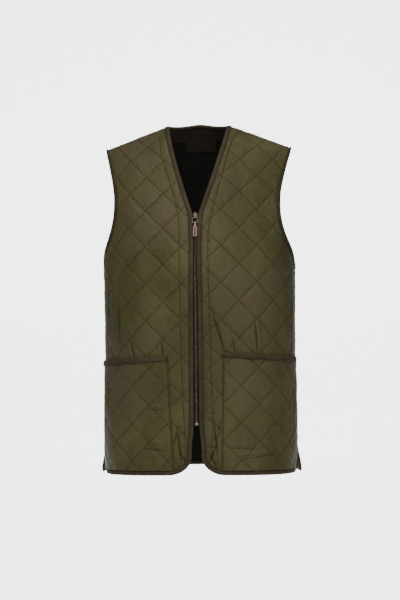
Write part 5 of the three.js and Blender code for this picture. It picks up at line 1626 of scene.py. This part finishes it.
def build_patch():
    """A plain rectangle with softly rounded edges, a quarter circle of the distance from its border, and a
    shallow furrow where it is stitched on all round."""
    s, t = np.linspace(-1, 1, PATCH_COUNT), np.linspace(0, 1, PATCH_COUNT)
    c, q = np.meshgrid(s * PATCH_HALF, patch_top() - PATCH_TALL * (1 - t))
    border = np.minimum(PATCH_HALF - np.abs(c), np.minimum(q - q.min(), q.max() - q))
    out = 0.5 * edge_dip(border, 1.5) + 0.25 * smooth((border - 2.5) / 2) + 0.12 * waves(c, q, 18, 93)
    depth = PATCH_THICK + np.maximum(0, out)
    lay_inside("neck_patch_cloth", "neck_patch", c, q, -2 * GAP - FACING_THICK, depth)


def two_sided(name, high, low):
    """A closed thin body between two grids of the same size."""
    rows, columns = high.shape[:2]
    count = rows * columns
    ring = ring_of(rows, columns)
    after = np.roll(ring, -1)
    rim = np.stack([ring, after, after + count, ring + count], axis=1)
    faces = np.vstack([grid_faces(rows, columns)[:, ::-1], grid_faces(rows, columns, first=count), rim])
    return piece(name, np.vstack([high.reshape(-1, 3), low.reshape(-1, 3)]), faces, [FACING])


# Floor, light and camera, in metres
FLOOR_PROFILE = np.array([[-5.2, -1.05], [2.0, -1.05], [4.0, -1.03], [5.0, -0.7], [5.4, 0.0], [5.5, 1.9]])
FLOOR_HALF, FLOOR_COUNT = 5, 41
GLOW = {"strength": 3.4, "middle": -0.3, "full_half": 1.25, "end_half": 2.0, "start": 0.1, "full": 0.6}
WHITE = (1, 1, 1, 1)
PALE = (0.9, 0.9, 0.9, 1)
LIGHTS = {
    "key": {"place": (-0.6, -2.4, 1.6), "aim": (0, 0, -0.33), "size": (2.2, 1.4), "power": 58},
    "fill": {"place": (1.4, -3.2, 0.2), "aim": (0, 0, -0.33), "size": (1.8, 2.2), "power": 42},
    "top": {"place": (0.1, -0.8, 1.8), "aim": (0, 0, -0.1), "size": (1.6, 0.9), "power": 20},
}
ROOM_LIGHT = 0.16
CAMERA_DISTANCE = 4.0
CAMERA_TURN = math.radians(3.75)
CAMERA_ROLL = math.radians(0.5)
CAMERA_HEIGHT = -0.331
VIEW_HEIGHT = 1.23  # what the photo's 600 pixels span at the side seams
SENSOR = 36.0


def floor_finish():
    """Pale and dull, lit evenly behind the garment: the glow is a share of how near the middle a place is,
    times a share of how far back it is."""
    m = Nodes("pale_floor")
    m.set(Roughness=0.9, Specular_IOR_Level=0.1, Base_Color=PALE, Emission_Color=WHITE)
    x, y = m.parts(m.objects())[:2]
    beside = m.math("ABSOLUTE", m.math("ADD", x, -GLOW["middle"]))
    middle = m.span(beside, GLOW["full_half"], GLOW["end_half"], 1, 0)
    behind = m.span(y, GLOW["start"], GLOW["full"], 0, 1)
    m.into("Emission Strength", m.math("MULTIPLY", m.math("MULTIPLY", middle, behind), GLOW["strength"]))
    return m.material


def set_stage():
    """A pale floor that curves up into a backdrop far behind: a curve through its profile, drawn out
    sideways."""
    fine = spline(FLOOR_PROFILE, 16)
    x = np.linspace(-FLOOR_HALF, FLOOR_HALF, FLOOR_COUNT)
    across, up = np.broadcast_arrays(x[None], fine[:, 1:])
    points = np.stack([across, np.broadcast_to(fine[:, :1], across.shape), up], axis=-1).reshape(-1, 3)
    mesh = bpy.data.meshes.new("floor")
    mesh.from_pydata(points.tolist(), [], grid_faces(len(fine), len(x)).tolist())
    mesh.polygons.foreach_set("use_smooth", np.ones(len(mesh.polygons), bool))
    mesh.materials.append(floor_finish())
    floor = bpy.data.objects.new("floor", mesh)
    bpy.context.scene.collection.objects.link(floor)


def set_light():
    """Soft rectangular lights, each turned to what it lights, in an evenly lit room."""
    for name, row in LIGHTS.items():
        light = bpy.data.lights.new(name, "AREA")
        light.shape = "RECTANGLE"
        light.size, light.size_y = row["size"]
        light.energy = row["power"]
        thing = bpy.data.objects.new(name, light)
        thing.location = row["place"]
        towards = Vector(row["aim"]) - Vector(row["place"])
        thing.rotation_euler = towards.to_track_quat("-Z", "Y").to_euler()
        bpy.context.scene.collection.objects.link(thing)
    world = bpy.data.worlds.new("studio")
    world.use_nodes = True
    background = world.node_tree.nodes["Background"]
    background.inputs["Color"].default_value = WHITE
    background.inputs["Strength"].default_value = ROOM_LIGHT
    bpy.context.scene.world = world


def set_camera():
    """A long lens on the level of the garment's middle, a little to one side and rolled a little."""
    ahead = Vector((-math.sin(CAMERA_TURN), math.cos(CAMERA_TURN), 0))
    right = Vector((math.cos(CAMERA_TURN), math.sin(CAMERA_TURN), 0))
    up = Vector((0, 0, 1))
    rolled_right = right * math.cos(CAMERA_ROLL) - up * math.sin(CAMERA_ROLL)
    rolled_up = up * math.cos(CAMERA_ROLL) + right * math.sin(CAMERA_ROLL)
    data = bpy.data.cameras.new("camera")
    data.sensor_width = SENSOR
    data.sensor_height = SENSOR
    data.sensor_fit = "AUTO"
    data.lens = SENSOR * CAMERA_DISTANCE / VIEW_HEIGHT
    camera = bpy.data.objects.new("camera", data)
    axes = Matrix((rolled_right, rolled_up, -ahead)).transposed().to_4x4()
    camera.matrix_world = Matrix.Translation(Vector((0, 0, CAMERA_HEIGHT)) - ahead * CAMERA_DISTANCE) @ axes
    bpy.context.scene.collection.objects.link(camera)
    bpy.context.scene.camera = camera


SIDES = (("left", -1), ("right", 1))
set_camera()
set_stage()
set_light()
for name, side in SIDES:
    build_front(name, side)
    build_pocket(name, side)
    build_mouth(name, side)
build_back()
for name, side in SIDES:
    build_front_tape(name, side)
build_back_tapes()
for name, side in SIDES:
    build_armhole_tape(name, side)
for name, side in SIDES:
    build_zip_tape(name, side)
build_teeth()
build_slider()
build_pull()
build_stop()
build_facing()
build_patch()
